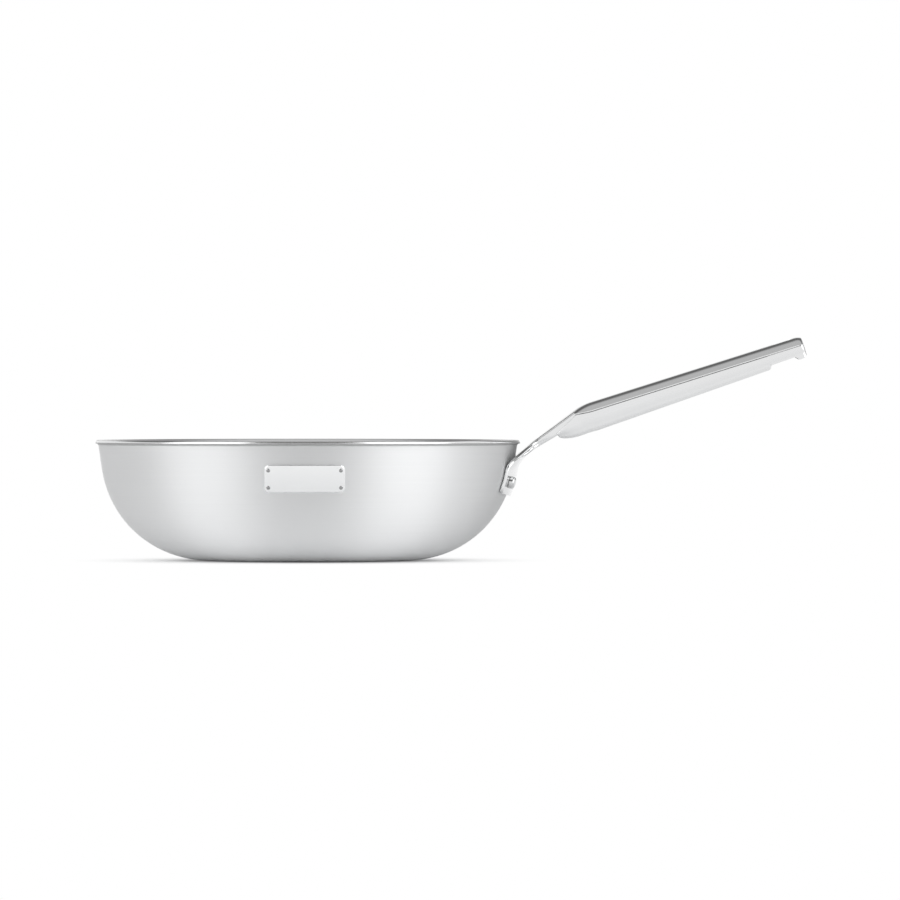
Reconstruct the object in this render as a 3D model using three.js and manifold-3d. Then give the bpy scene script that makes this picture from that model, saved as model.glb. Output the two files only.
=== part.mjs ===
// A stir-fry pan: a three-layer clad steel bowl with a pouring lip, a blank name plate pinned to its front,
// and a hollow steel handle riveted to its wall. Millimetres, +Z up. The origin is the centre of the base
// underside, the handle points along +X and the name plate faces -Y.

import * as THREE from 'three';
import { mergeVertices } from 'three/addons/utils/BufferGeometryUtils.js';
import Module from 'manifold-3d';

// Bowl, outside sizes
const RIM_RADIUS = 140;
const BODY_HEIGHT = 79.5;
const CORNER_RADIUS = 70;
const CORNER_WALL_SHARE = 0.95;
const WALL_LEAN_DEGREES = 8.4;
const LIP_BEND_RADIUS = 2;

// Bowl, the three layers from the outside in
const SKIN_THICKNESS = 0.5;
const CORE_THICKNESS = 1.5;
const LINER_THICKNESS = 0.4;

// Name plate and its four pins
const PLATE_WIDTH = 52;
const PLATE_HEIGHT = 18;
const PLATE_THICKNESS = 0.8;
const PLATE_CORNER_RADIUS = 3;
const PLATE_DEPTH_BELOW_RIM = 24.6;
const PIN_INSET_WIDTH = 2.7;
const PIN_INSET_HEIGHT = 3.5;
const PIN_SHANK_RADIUS = 0.8;
const PIN_HEAD_RADIUS = 1.3;
const PIN_HEAD_HEIGHT = 0.5;

// Handle bracket on the wall, and its two rivets
const BRACKET_DEPTH_BELOW_RIM = 14.3;
const BRACKET_HEIGHT = 22;
const BRACKET_TOP_WIDTH = 84;
const BRACKET_FOOT_WIDTH = 86;
const BRACKET_THICKNESS = 2.4;
const BRACKET_CORNER_RADIUS = 4;
const RIVET_SPACING_WIDTH = 60;
const RIVET_HEIGHT_ABOVE_FOOT = 9.1;
const RIVET_SHANK_RADIUS = 2.4;
const RIVET_HEAD_RADIUS = 4.2;
const RIVET_HEAD_HEIGHT = 3.4;
const RIVET_TAIL_RADIUS = 4.6;
const RIVET_TAIL_HEIGHT = 1.2;

// Handle stem, which leaves the wall, rises over the lip and ends in a tongue inside the grip
const STEM_DEPTH_BELOW_BRACKET_TOP = 1.2;
const FLARE_DROP_LENGTH = 6;
const FLARE_LENGTH = 30;
const FLARE_SINK_DEPTH = 0.4;
const STEM_ROOT_BEND_RADIUS = 16;
const STEM_RISE_DEGREES = 36.8;
const STEM_LENGTH = 39.8;
const STEM_ROOT_WIDTH = 20;
const STEM_THICKNESS = 5;
const STEM_END_THICKNESS = 6.8;
const TONGUE_LENGTH = 28;
const TONGUE_WIDTH = 11;
const TONGUE_THICKNESS = 3;

// Grip: an arched top shell over a belly shell, with a hanging slot and a notch behind it
const GRIP_RISE_DEGREES = 17.5;
const GRIP_BEND_RADIUS = 40;
const GRIP_LENGTH = 145;
const GRIP_WIDTH = 24;
const GRIP_CROWN_HEIGHT = 6;
const ARCH_FRONT_HEIGHT = 2.2;
const CROWN_EDGE_HEIGHT = 0.6;
const GRIP_FRONT_DEPTH = 19.3;
const GRIP_TAIL_DEPTH = 14.7;
const GRIP_SHEET_THICKNESS = 1.2;
const BELLY_CORNER_RADIUS = 3.5;
const BELLY_DRAFT_WIDTH = 0.8;
const PROW_LENGTH = 17.5;
const PROW_TIP_DEPTH = 8.5;
const PROW_NOSE_LENGTH = 9;
const TAIL_ROUND_LENGTH = 5;
const TAIL_DROP_HEIGHT = 1.2;
const TAIL_LIFT_HEIGHT = 2;
const BAY_LENGTH = 27;
const NOTCH_LENGTH = 17;
const NOTCH_HEIGHT = 2.6;
const SLOT_LENGTH = 15;
const SLOT_WIDTH = 9;

// Fullness of the handle's curves
const ARCH_FULLNESS = 0.75;
const PROW_FULLNESS = 0.72;
const PROW_NOSE_SHARE = 0.92;
const TAIL_TUCK = 0.5;

// Clearances
const BOND_CLEARANCE = 0.05;
const SEAT_CLEARANCE = 0.3;
const BORE_CLEARANCE = 0.3;
const PIN_CLEARANCE = 0.15;

// Smoothness
const MERGE_DISTANCE = 1e-4;
const AROUND = 60;
const CORNER_STEPS = 8;
const LIP_STEPS = 3;
const RIVET_STEPS = 16;
const PIN_STEPS = 10;
const ARCH_STEPS = 10;
const STEM_STEPS = 24;
const DOME_STEPS = 4;
const OUTLINE_STEPS = 6;
const BELLY_CORNER_STEPS = 3;
const TONGUE_SHARES = [0.25, 0.5, 1];
const PROW_SHARES = [0, 0.06, 0.16, 0.32, 0.5, 0.7, 0.86];
const BEND_SHARES = [0, 0.25, 0.5, 0.75, 1];
const TAIL_SHARES = [0, 0.4, 0.7, 0.9, 1];

// How many times further than what they cut the cutting tools reach
const BORE_REACH = 4;
const CUT_REACH = 2;

const wasm = await Module();
wasm.setup();

const radians = THREE.MathUtils.degToRad;
const coreInset = SKIN_THICKNESS + BOND_CLEARANCE;
const linerInset = coreInset + CORE_THICKNESS + BOND_CLEARANCE;
const wallThickness = linerInset + LINER_THICKNESS;
const wallLean = radians(WALL_LEAN_DEGREES);
const handleAzimuth = 0;
const plateAzimuth = -Math.PI / 2;
const plateCentreHeight = BODY_HEIGHT - PLATE_DEPTH_BELOW_RIM;
const bracketTop = BODY_HEIGHT - BRACKET_DEPTH_BELOW_RIM;
const bracketFoot = bracketTop - BRACKET_HEIGHT;
const rivetHeight = bracketFoot + RIVET_HEIGHT_ABOVE_FOOT;

// Solids and meshes

function merged(geometry) {
  // Shared vertices joined, so that the faces close on each other, and turned to face outwards.
  const bare = geometry.clone();
  bare.deleteAttribute('normal');
  bare.deleteAttribute('uv');
  const closed = mergeVertices(bare, MERGE_DISTANCE);
  const at = (i) => new THREE.Vector3().fromBufferAttribute(closed.attributes.position, closed.index.getX(i));
  let volume = 0;
  for (let i = 0; i < closed.index.count; i += 3) {
    volume += at(i).dot(at(i + 1).cross(at(i + 2)));
  }
  if (volume < 0) {
    closed.index.array.reverse();
  }
  return closed;
}

function solidOf(geometry) {
  const closed = merged(geometry);
  const vertProperties = new Float32Array(closed.attributes.position.array);
  const triVerts = new Uint32Array(closed.index.array);
  return new wasm.Manifold(new wasm.Mesh({ numProp: 3, vertProperties, triVerts }));
}

function geometryOf(solid) {
  const mesh = solid.getMesh();
  const geometry = new THREE.BufferGeometry();
  geometry.setAttribute('position', new THREE.BufferAttribute(mesh.vertProperties, 3));
  geometry.setIndex(new THREE.BufferAttribute(mesh.triVerts, 1));
  geometry.computeVertexNormals();
  return geometry;
}

function lathe(points) {
  // A profile of (radius, height) points turned about +Z.
  return new THREE.LatheGeometry(points, AROUND).rotateX(Math.PI / 2);
}

function turned(profile, steps) {
  // A small turned piece: a profile of [radius, height] pairs about +Y, ready for a wall frame.
  const points = profile.map(([radius, height]) => new THREE.Vector2(radius, height));
  return new THREE.LatheGeometry(points, steps);
}

function dome(radius, base, height) {
  // A quarter ellipse of [radius, height] pairs, from its rim at the base to its crown on the axis.
  return Array.from({ length: DOME_STEPS + 1 }, (_, i) => {
    const angle = (Math.PI / 2) * (i / DOME_STEPS);
    return [radius * Math.cos(angle), base + height * Math.sin(angle)];
  });
}

function loft(sections) {
  // Closed rings of points joined one to the next, with each end closed by a zigzag between its two sides.
  const count = sections[0].length;
  const positions = sections.flat().flatMap((point) => point.toArray());
  const index = [];
  for (let i = 0; i + 1 < sections.length; i += 1) {
    for (let j = 0; j < count; j += 1) {
      const a = i * count + j;
      const b = i * count + ((j + 1) % count);
      index.push(a, b, a + count, b, b + count, a + count);
    }
  }
  const last = (sections.length - 1) * count;
  let low = 0;
  let high = count - 1;
  while (high - low > 1) {
    const fromLow = low + high === count - 1;
    const between = fromLow ? low + 1 : high - 1;
    index.push(low, high, between, last + low, last + between, last + high);
    low = fromLow ? between : low;
    high = fromLow ? high : between;
  }
  const geometry = new THREE.BufferGeometry();
  geometry.setAttribute('position', new THREE.Float32BufferAttribute(positions, 3));
  geometry.setIndex(index);
  return geometry;
}

// The bowl's wall, as offsets of its outer surface

const lipCentre = new THREE.Vector2(RIM_RADIUS, BODY_HEIGHT - LIP_BEND_RADIUS - wallThickness);
const wallNormal = new THREE.Vector2(Math.cos(wallLean), -Math.sin(wallLean));
const wallTop = lipCentre.clone().addScaledVector(wallNormal, -LIP_BEND_RADIUS);
const cornerRadius = Math.min(CORNER_RADIUS, (CORNER_WALL_SHARE * wallTop.y) / (1 - Math.sin(wallLean)));
const cornerTop = cornerRadius * (1 - Math.sin(wallLean));
const cornerTopRadius = wallTop.x - (wallTop.y - cornerTop) * Math.tan(wallLean);
const baseRadius = cornerTopRadius - cornerRadius * Math.cos(wallLean);
// How far the flats of the wall lie inside its true curves, at most.
const cornerStep = (Math.PI / 2 - wallLean) / CORNER_STEPS;
const flatSag = cornerRadius * (1 - Math.cos(cornerStep / 2)) + RIM_RADIUS * (1 - Math.cos(Math.PI / AROUND));

function arcPoints(centre, radius, from, to, steps) {
  return Array.from({ length: steps + 1 }, (_, i) => {
    const angle = from + ((to - from) * i) / steps;
    return new THREE.Vector2(centre.x + radius * Math.cos(angle), centre.y + radius * Math.sin(angle));
  });
}

function wallRun(inset) {
  // Corner sweep and straight wall, moved inwards by inset, from the base edge up to the lip bend.
  const centre = new THREE.Vector2(baseRadius, cornerRadius);
  const sweep = arcPoints(centre, cornerRadius - inset, -Math.PI / 2, -wallLean, CORNER_STEPS);
  return [...sweep, wallTop.clone().addScaledVector(wallNormal, -inset)];
}

function bowlRun(inset) {
  // The whole surface at that inset: base, wall and the lip, which turns out to the horizontal.
  const lip = arcPoints(lipCentre, LIP_BEND_RADIUS + inset, Math.PI - wallLean, Math.PI / 2, LIP_STEPS);
  return [new THREE.Vector2(0, inset), ...wallRun(inset), ...lip.slice(1)];
}

function wallAt(height) {
  // Radius and lean of the outer surface at a height above the base.
  if (height >= cornerTop) {
    return { radius: cornerTopRadius + (height - cornerTop) * Math.tan(wallLean), lean: wallLean };
  }
  const lean = Math.asin((cornerRadius - height) / cornerRadius);
  return { radius: baseRadius + cornerRadius * Math.cos(lean), lean };
}

function wallFrame(azimuth, height) {
  // A frame on the outer surface whose Y axis points straight out of the wall.
  const { radius, lean } = wallAt(height);
  const level = new THREE.Vector3(Math.cos(azimuth), Math.sin(azimuth), 0);
  const sideways = new THREE.Vector3(-Math.sin(azimuth), Math.cos(azimuth), 0);
  const outward = level.clone().multiplyScalar(Math.cos(lean)).setZ(-Math.sin(lean));
  const third = new THREE.Vector3().crossVectors(sideways, outward);
  const place = level.clone().multiplyScalar(radius).setZ(height);
  return new THREE.Matrix4().makeBasis(sideways, outward, third).setPosition(place);
}

function wallShell(inner, outer) {
  // A ring that hugs the wall, from one distance outside it to another.
  const inside = wallRun(-inner);
  const outside = wallRun(-outer).reverse();
  return solidOf(lathe([...inside, ...outside, inside[0].clone()]));
}

function wallPatch(shape, azimuth, inner, outer) {
  // The part of such a ring that lies behind a flat outline (sideways, height) at that azimuth.
  const level = new THREE.Vector3(Math.cos(azimuth), Math.sin(azimuth), 0);
  const sideways = new THREE.Vector3(-Math.sin(azimuth), Math.cos(azimuth), 0);
  const up = new THREE.Vector3(0, 0, 1);
  const reach = new THREE.ExtrudeGeometry(shape, {
    depth: RIM_RADIUS,
    bevelEnabled: false,
    curveSegments: OUTLINE_STEPS,
  });
  const start = level.clone().multiplyScalar(baseRadius);
  reach.applyMatrix4(new THREE.Matrix4().makeBasis(sideways, up, level).setPosition(start));
  return wallShell(inner, outer).intersect(solidOf(reach));
}

function roundedOutline(corners, radius) {
  // A closed outline through the corners, each rounded off by the same radius.
  const shape = new THREE.Shape();
  corners.forEach((corner, i) => {
    const before = corners[(i + corners.length - 1) % corners.length];
    const after = corners[(i + 1) % corners.length];
    const entry = corner.clone().addScaledVector(before.clone().sub(corner).normalize(), radius);
    const leave = corner.clone().addScaledVector(after.clone().sub(corner).normalize(), radius);
    if (i === 0) {
      shape.moveTo(entry.x, entry.y);
    } else {
      shape.lineTo(entry.x, entry.y);
    }
    shape.quadraticCurveTo(corner.x, corner.y, leave.x, leave.y);
  });
  shape.closePath();
  return shape;
}

function boreThroughWall(azimuth, height, radius) {
  // A round hole's tool, long enough to pass through the wall and the bracket on it.
  const length = BORE_REACH * (wallThickness + BRACKET_THICKNESS);
  const bore = new THREE.CylinderGeometry(radius, radius, length, RIVET_STEPS);
  return solidOf(bore.applyMatrix4(wallFrame(azimuth, height)));
}

// Bowl layers

const rivetSwing = Math.asin(RIVET_SPACING_WIDTH / 2 / wallAt(rivetHeight).radius);
const rivetAzimuths = [handleAzimuth - rivetSwing, handleAzimuth + rivetSwing];
const rivetBores = rivetAzimuths.map((azimuth) =>
  boreThroughWall(azimuth, rivetHeight, RIVET_SHANK_RADIUS + BORE_CLEARANCE));

function bowlLayer(outerInset, innerInset) {
  const outside = bowlRun(outerInset);
  const inside = bowlRun(innerInset).reverse();
  const layer = solidOf(lathe([...outside, ...inside]));
  return rivetBores.reduce((solid, bore) => solid.subtract(bore), layer);
}

// Name plate

const plateInner = SEAT_CLEARANCE;
const plateOuter = plateInner + PLATE_THICKNESS;
const plateQuarters = [[-1, -1], [1, -1], [1, 1], [-1, 1]];
const pinFrames = plateQuarters.map(([across, up]) => {
  const height = plateCentreHeight + up * (PLATE_HEIGHT / 2 - PIN_INSET_HEIGHT);
  const swing = Math.asin((PLATE_WIDTH / 2 - PIN_INSET_WIDTH) / wallAt(height).radius);
  return wallFrame(plateAzimuth + across * swing, height);
});

function namePlate() {
  const corners = plateQuarters.map(([across, up]) =>
    new THREE.Vector2((across * PLATE_WIDTH) / 2, plateCentreHeight + (up * PLATE_HEIGHT) / 2));
  const outline = roundedOutline(corners, PLATE_CORNER_RADIUS);
  const plate = wallPatch(outline, plateAzimuth, plateInner, plateOuter);
  const holeRadius = PIN_SHANK_RADIUS + PIN_CLEARANCE;
  return pinFrames.reduce((solid, frame) => {
    const hole = new THREE.CylinderGeometry(holeRadius, holeRadius, BORE_REACH * plateOuter, PIN_STEPS);
    return solid.subtract(solidOf(hole.applyMatrix4(frame)));
  }, plate);
}

function platePin(frame) {
  const foot = PIN_CLEARANCE;
  const seat = plateOuter + PIN_CLEARANCE;
  const pin = turned([
    [0, foot],
    [PIN_SHANK_RADIUS, foot],
    [PIN_SHANK_RADIUS, seat],
    ...dome(PIN_HEAD_RADIUS, seat, PIN_HEAD_HEIGHT),
  ], PIN_STEPS);
  return pin.applyMatrix4(frame);
}

// The handle's top line, seen from the side: up the wall, out along the stem and along the grip.
// It is the bracket's wall-side face, then the top of the stem and of the grip.

const stemLeavesWallAt = bracketTop - STEM_DEPTH_BELOW_BRACKET_TOP;
const rootStart = wallAt(stemLeavesWallAt);
const rootRun = stemLeavesWallAt - rivetHeight - RIVET_HEAD_RADIUS;
const rootRise = Math.PI / 2 - rootStart.lean;
const stemRise = radians(STEM_RISE_DEGREES);
const gripRise = radians(GRIP_RISE_DEGREES);
const rootBendLength = STEM_ROOT_BEND_RADIUS * (rootRise - stemRise);
const gripBendLength = GRIP_BEND_RADIUS * (stemRise - gripRise);
const stemStart = rootRun + rootBendLength;
const gripStart = stemStart + STEM_LENGTH;
const gripStraight = gripStart + gripBendLength;
const gripEnd = gripStraight + GRIP_LENGTH;
const bayStart = gripEnd - BAY_LENGTH;
const bayEnd = gripEnd - GRIP_SHEET_THICKNESS;
const prowStart = gripStart - PROW_LENGTH;
const flareStart = rootRun - FLARE_DROP_LENGTH;
const stemSeatDepth = STEM_END_THICKNESS + SEAT_CLEARANCE;
const mouthHalfWidth = (PROW_NOSE_SHARE * GRIP_WIDTH) / 2 - GRIP_SHEET_THICKNESS;

function spineRise(s) {
  // Angle of the top line above level, at a distance along it.
  if (s < gripStart) {
    const turn = THREE.MathUtils.clamp((s - rootRun) / rootBendLength, 0, 1);
    return rootRise + (stemRise - rootRise) * turn;
  }
  const turn = THREE.MathUtils.clamp((s - gripStart) / gripBendLength, 0, 1);
  return stemRise + (gripRise - stemRise) * turn;
}

function advance(place, rise, run, turn) {
  // The far end of a straight stretch, or of an arc that turns by that angle over its run.
  if (turn === 0) {
    return place.clone().add(new THREE.Vector2(Math.cos(rise), Math.sin(rise)).multiplyScalar(run));
  }
  const radius = run / turn;
  const end = rise + turn;
  const step = new THREE.Vector2(Math.sin(end) - Math.sin(rise), Math.cos(rise) - Math.cos(end));
  return place.clone().addScaledVector(step, radius);
}

const spineStart = new THREE.Vector2(rootStart.radius, stemLeavesWallAt)
  .addScaledVector(new THREE.Vector2(Math.cos(rootStart.lean), -Math.sin(rootStart.lean)), SEAT_CLEARANCE)
  .addScaledVector(new THREE.Vector2(Math.cos(rootRise), Math.sin(rootRise)), -rootRun);

function spineAt(s) {
  // Point of the top line at a distance along it, as (outward, height).
  const knots = [rootRun, stemStart, gripStart, gripStraight, Infinity];
  let place = spineStart;
  let done = 0;
  for (const knot of knots) {
    const next = Math.min(s, knot);
    const rise = spineRise(done);
    place = advance(place, rise, next - done, spineRise(next) - rise);
    done = next;
    if (s <= knot) {
      break;
    }
  }
  return place;
}

function onSection(s, sideways, depth) {
  // A point of the handle: along the top line, to one side, and at a depth square to it.
  const place = spineAt(s);
  const rise = spineRise(s);
  return new THREE.Vector3(
    place.x + depth * Math.sin(rise),
    sideways,
    place.y - depth * Math.cos(rise),
  );
}

function sectionFrame(s, depth) {
  // A frame there: X along the top line, Y across the handle, Z square to it and up.
  const rise = spineRise(s);
  const along = new THREE.Vector3(Math.cos(rise), 0, Math.sin(rise));
  const across = new THREE.Vector3(0, 1, 0);
  const up = new THREE.Vector3(-Math.sin(rise), 0, Math.cos(rise));
  return new THREE.Matrix4().makeBasis(along, across, up).setPosition(onSection(s, 0, depth));
}

function arch(share) {
  // How far a crowned top has dropped, from 0 on the centre line to 1 at its edges.
  const drop = (t) => 1 - Math.sqrt(1 - ARCH_FULLNESS * t * t);
  return drop(share) / drop(1);
}

function crownedRing(s, halfWidth, topDepth, bottom) {
  // A section with a curved top, whose depth is a function of the place across it, and a flat underside.
  const ring = [];
  for (let i = 0; i <= ARCH_STEPS; i += 1) {
    const sideways = halfWidth * (1 - (2 * i) / ARCH_STEPS);
    ring.push(onSection(s, sideways, topDepth(sideways)));
  }
  ring.push(onSection(s, -halfWidth, bottom), onSection(s, halfWidth, bottom));
  return ring;
}

function bellyRing(s, halfWidth, top, bottom, corner) {
  // A section with upright sides, drawn in a little, and rounded lower corners.
  const foot = halfWidth - Math.min(BELLY_DRAFT_WIDTH, halfWidth / 4);
  const round = Math.min(corner, (bottom - top) / 2, foot / 2);
  const steps = BELLY_CORNER_STEPS;
  const side = arcPoints(new THREE.Vector2(foot - round, bottom - round), round, 0, Math.PI / 2, steps);
  const half = [new THREE.Vector2(halfWidth, top), ...side];
  const mirror = half.map((point) => new THREE.Vector2(-point.x, point.y)).reverse();
  return [...half, ...mirror].map((point) => onSection(s, point.x, point.y));
}

// Handle stem with its bracket

function wallDish(sideways) {
  // How far the wall curves away behind its own tangent, to one side.
  const radius = rootStart.radius + SEAT_CLEARANCE;
  return Math.sqrt(radius ** 2 - sideways ** 2) - radius;
}

function barRing(s, halfWidth, topDepth, bottomDepth) {
  // A section whose top and underside are both curved, their depths functions of the place across it.
  const across = Array.from({ length: ARCH_STEPS + 1 }, (_, i) => halfWidth * (1 - (2 * i) / ARCH_STEPS));
  const over = across.map((sideways) => onSection(s, sideways, topDepth(sideways)));
  const under = across.map((sideways) => onSection(s, -sideways, bottomDepth(-sideways)));
  return [...over, ...under];
}

function stemRing(s) {
  // From inside the bracket's plate, bent to the wall, the bar sweeps in to the stem, which thickens and fits
  // the mouth of the grip's belly.
  const { clamp, lerp, smoothstep } = THREE.MathUtils;
  const freed = smoothstep(s, rootRun, stemStart);
  const along = clamp((s - rootRun) / (prowStart - rootRun), 0, 1);
  const stemHalfWidth = lerp(STEM_ROOT_WIDTH / 2, mouthHalfWidth - SEAT_CLEARANCE, along);
  const swept = smoothstep(s, flareStart, flareStart + FLARE_LENGTH);
  const halfWidth = lerp(BRACKET_TOP_WIDTH / 2, stemHalfWidth, swept);
  const crown = ARCH_FRONT_HEIGHT * smoothstep(s, rootRun, gripStart);
  const crownShare = (sideways) => clamp((2 * sideways) / GRIP_WIDTH, -1, 1);
  const top = (sideways) =>
    lerp(wallDish(sideways) + FLARE_SINK_DEPTH, crown * arch(crownShare(sideways)), freed);
  const root = lerp(BRACKET_THICKNESS - FLARE_SINK_DEPTH, STEM_THICKNESS, freed);
  const reached = clamp((s - stemStart) / (prowStart - stemStart), 0, 1);
  const thickness = lerp(root, STEM_END_THICKNESS, reached);
  const bottom = (sideways) => lerp(wallDish(sideways), 0, freed) + thickness;
  return barRing(s, halfWidth, top, bottom);
}

function tongueRing(s) {
  // The tongue lies just under the arched shell and follows its inner face.
  const top = (sideways) => gripHollowDepth(s, sideways) + SEAT_CLEARANCE;
  return crownedRing(s, TONGUE_WIDTH / 2, top, top(TONGUE_WIDTH / 2) + TONGUE_THICKNESS);
}

function handleStem() {
  // The bracket's plate ends inside the start of the sweep, which covers its rounded upper corners.
  const plateTop = stemLeavesWallAt - FLARE_DROP_LENGTH + BRACKET_CORNER_RADIUS / 2;
  const outline = roundedOutline([
    new THREE.Vector2(-BRACKET_FOOT_WIDTH / 2, bracketFoot),
    new THREE.Vector2(BRACKET_FOOT_WIDTH / 2, bracketFoot),
    new THREE.Vector2(BRACKET_TOP_WIDTH / 2, plateTop),
    new THREE.Vector2(-BRACKET_TOP_WIDTH / 2, plateTop),
  ], BRACKET_CORNER_RADIUS);
  const plate = wallPatch(outline, handleAzimuth, SEAT_CLEARANCE, SEAT_CLEARANCE + BRACKET_THICKNESS);
  const stemEnd = gripStart - SEAT_CLEARANCE;
  const stations = Array.from({ length: STEM_STEPS + 1 }, (_, i) => (stemEnd * i) / STEM_STEPS);
  const stem = solidOf(loft(stations.map(stemRing)));
  const inside = TONGUE_SHARES.map((share) => gripStart + TONGUE_LENGTH * share);
  const tongue = solidOf(loft([gripStart - STEM_END_THICKNESS, gripStart, ...inside].map(tongueRing)));
  const whole = plate.add(stem).add(tongue);
  return rivetBores.reduce((solid, bore) => solid.subtract(bore), whole);
}

function handleRivet(azimuth) {
  const seat = SEAT_CLEARANCE + BRACKET_THICKNESS + SEAT_CLEARANCE;
  const tail = -(wallThickness + flatSag + SEAT_CLEARANCE);
  const rivet = turned([
    ...dome(RIVET_TAIL_RADIUS, tail, -RIVET_TAIL_HEIGHT).reverse(),
    [RIVET_SHANK_RADIUS, tail],
    [RIVET_SHANK_RADIUS, seat],
    ...dome(RIVET_HEAD_RADIUS, seat, RIVET_HEAD_HEIGHT),
  ], RIVET_STEPS);
  return rivet.applyMatrix4(wallFrame(azimuth, rivetHeight));
}

// Grip shells

function tailShare(s) {
  return THREE.MathUtils.clamp((s - (gripEnd - TAIL_ROUND_LENGTH)) / TAIL_ROUND_LENGTH, 0, 1);
}

function gripHalfWidth(s) {
  // Full width along the grip, rounded off in plan at its tail.
  return (GRIP_WIDTH / 2) * Math.sqrt(1 - TAIL_TUCK * tailShare(s) ** 2);
}

function archHeight(s) {
  // The arch starts low where the stem ends and is full where the grip runs straight.
  const left = 1 - THREE.MathUtils.clamp((s - gripStart) / gripBendLength, 0, 1);
  return THREE.MathUtils.lerp(GRIP_CROWN_HEIGHT - CROWN_EDGE_HEIGHT, ARCH_FRONT_HEIGHT, left * left);
}

function creaseDepth(s) {
  // Where the top shell's lower edge lies, and with it the seam along the grip's side.
  return archHeight(s) + CROWN_EDGE_HEIGHT;
}

function gripTopDepth(s, sideways) {
  // The arched outer face, which drops a little at the tail.
  const drop = TAIL_DROP_HEIGHT * tailShare(s) ** 2;
  return drop + (archHeight(s) - drop) * arch(sideways / gripHalfWidth(s));
}

function gripHollowDepth(s, sideways) {
  // The arched inner face, one sheet thickness inside.
  const share = sideways / (gripHalfWidth(s) - GRIP_SHEET_THICKNESS);
  return GRIP_SHEET_THICKNESS + archHeight(s) * arch(share);
}

function bellyHalfWidth(s) {
  // As the grip, with rounded corners at the front.
  const nose = THREE.MathUtils.clamp((s - prowStart) / PROW_NOSE_LENGTH, 0, 1);
  const round = Math.sqrt(1 - (1 - nose) ** 2);
  return gripHalfWidth(s) * THREE.MathUtils.lerp(PROW_NOSE_SHARE, 1, round);
}

function bellyTop(s) {
  // The mouth slants from under the stem up to the seam, which runs on just below the top shell.
  const slant = THREE.MathUtils.clamp((s - prowStart) / PROW_LENGTH, 0, 1);
  return THREE.MathUtils.lerp(stemSeatDepth, creaseDepth(s) + SEAT_CLEARANCE, slant);
}

function bellyDepth(s) {
  // The underside: a prow that sweeps down from the stem, then a straight taper to the lifted tail.
  const straightShare = Math.max(0, (s - gripStraight) / GRIP_LENGTH);
  const taper = THREE.MathUtils.lerp(GRIP_FRONT_DEPTH, GRIP_TAIL_DEPTH, straightShare);
  const sweep = THREE.MathUtils.clamp((s - prowStart) / (gripStraight - prowStart), 0, 1);
  const lift = TAIL_LIFT_HEIGHT * (1 - Math.sqrt(1 - tailShare(s) ** 2));
  const full = taper - lift;
  return PROW_TIP_DEPTH + (full - PROW_TIP_DEPTH) * (1 - (1 - sweep) ** 2) ** PROW_FULLNESS;
}

const tailStations = TAIL_SHARES.map((share) => gripEnd - TAIL_ROUND_LENGTH * (1 - share));
const bendStations = BEND_SHARES.map((share) => gripStart + gripBendLength * share);
const prowStations = PROW_SHARES.map((share) => prowStart + PROW_LENGTH * share);

function hangingSlot() {
  const reach = (SLOT_LENGTH - SLOT_WIDTH) / 2;
  const shape = new THREE.Shape();
  shape.absarc(reach, 0, SLOT_WIDTH / 2, -Math.PI / 2, Math.PI / 2);
  shape.absarc(-reach, 0, SLOT_WIDTH / 2, Math.PI / 2, (3 * Math.PI) / 2);
  shape.closePath();
  const tool = new THREE.ExtrudeGeometry(shape, {
    depth: CUT_REACH * GRIP_CROWN_HEIGHT,
    bevelEnabled: false,
    curveSegments: OUTLINE_STEPS,
  });
  const bayMiddle = (bayStart + bayEnd) / 2;
  return solidOf(tool.applyMatrix4(sectionFrame(bayMiddle, GRIP_CROWN_HEIGHT)));
}

function gripTop() {
  const outerRing = (s) =>
    crownedRing(s, gripHalfWidth(s), (sideways) => gripTopDepth(s, sideways), creaseDepth(s));
  const innerRing = (s) =>
    crownedRing(
      s,
      gripHalfWidth(s) - GRIP_SHEET_THICKNESS,
      (sideways) => gripHollowDepth(s, sideways),
      CUT_REACH * GRIP_CROWN_HEIGHT,
    );
  const outer = solidOf(loft([...bendStations, ...tailStations].map(outerRing)));
  const innerEnds = [...tailStations.slice(0, 2), bayEnd];
  const innerFront = gripStart - GRIP_SHEET_THICKNESS;
  const inner = solidOf(loft([innerFront, ...bendStations, ...innerEnds].map(innerRing)));
  return outer.subtract(inner).subtract(hangingSlot());
}

function hollowRing(s, extra) {
  // The belly's inside, one sheet thickness in; extra depth opens it through the underside.
  const top = bellyTop(s) - GRIP_SHEET_THICKNESS;
  const bottom = Math.max(bellyDepth(s) - GRIP_SHEET_THICKNESS, stemSeatDepth) + extra;
  const corner = BELLY_CORNER_RADIUS - GRIP_SHEET_THICKNESS;
  return bellyRing(s, bellyHalfWidth(s) - GRIP_SHEET_THICKNESS, top, bottom, corner);
}

function notchTool() {
  // Cuts the side walls back beside the hanging slot, with a swept end towards the tail.
  const shape = new THREE.Shape();
  shape.moveTo(0, 0);
  shape.lineTo(NOTCH_LENGTH, 0);
  const sweptEnd = NOTCH_LENGTH + NOTCH_HEIGHT;
  const below = -CUT_REACH * NOTCH_HEIGHT;
  shape.quadraticCurveTo(sweptEnd, 0, sweptEnd, below);
  shape.lineTo(0, below);
  shape.closePath();
  const tool = new THREE.ExtrudeGeometry(shape, {
    depth: CUT_REACH * GRIP_WIDTH,
    bevelEnabled: false,
    curveSegments: OUTLINE_STEPS,
  });
  tool.translate(0, 0, (-CUT_REACH * GRIP_WIDTH) / 2).rotateX(Math.PI / 2);
  return solidOf(tool.applyMatrix4(sectionFrame(bayStart, bellyDepth(bayStart) - NOTCH_HEIGHT)));
}

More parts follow.
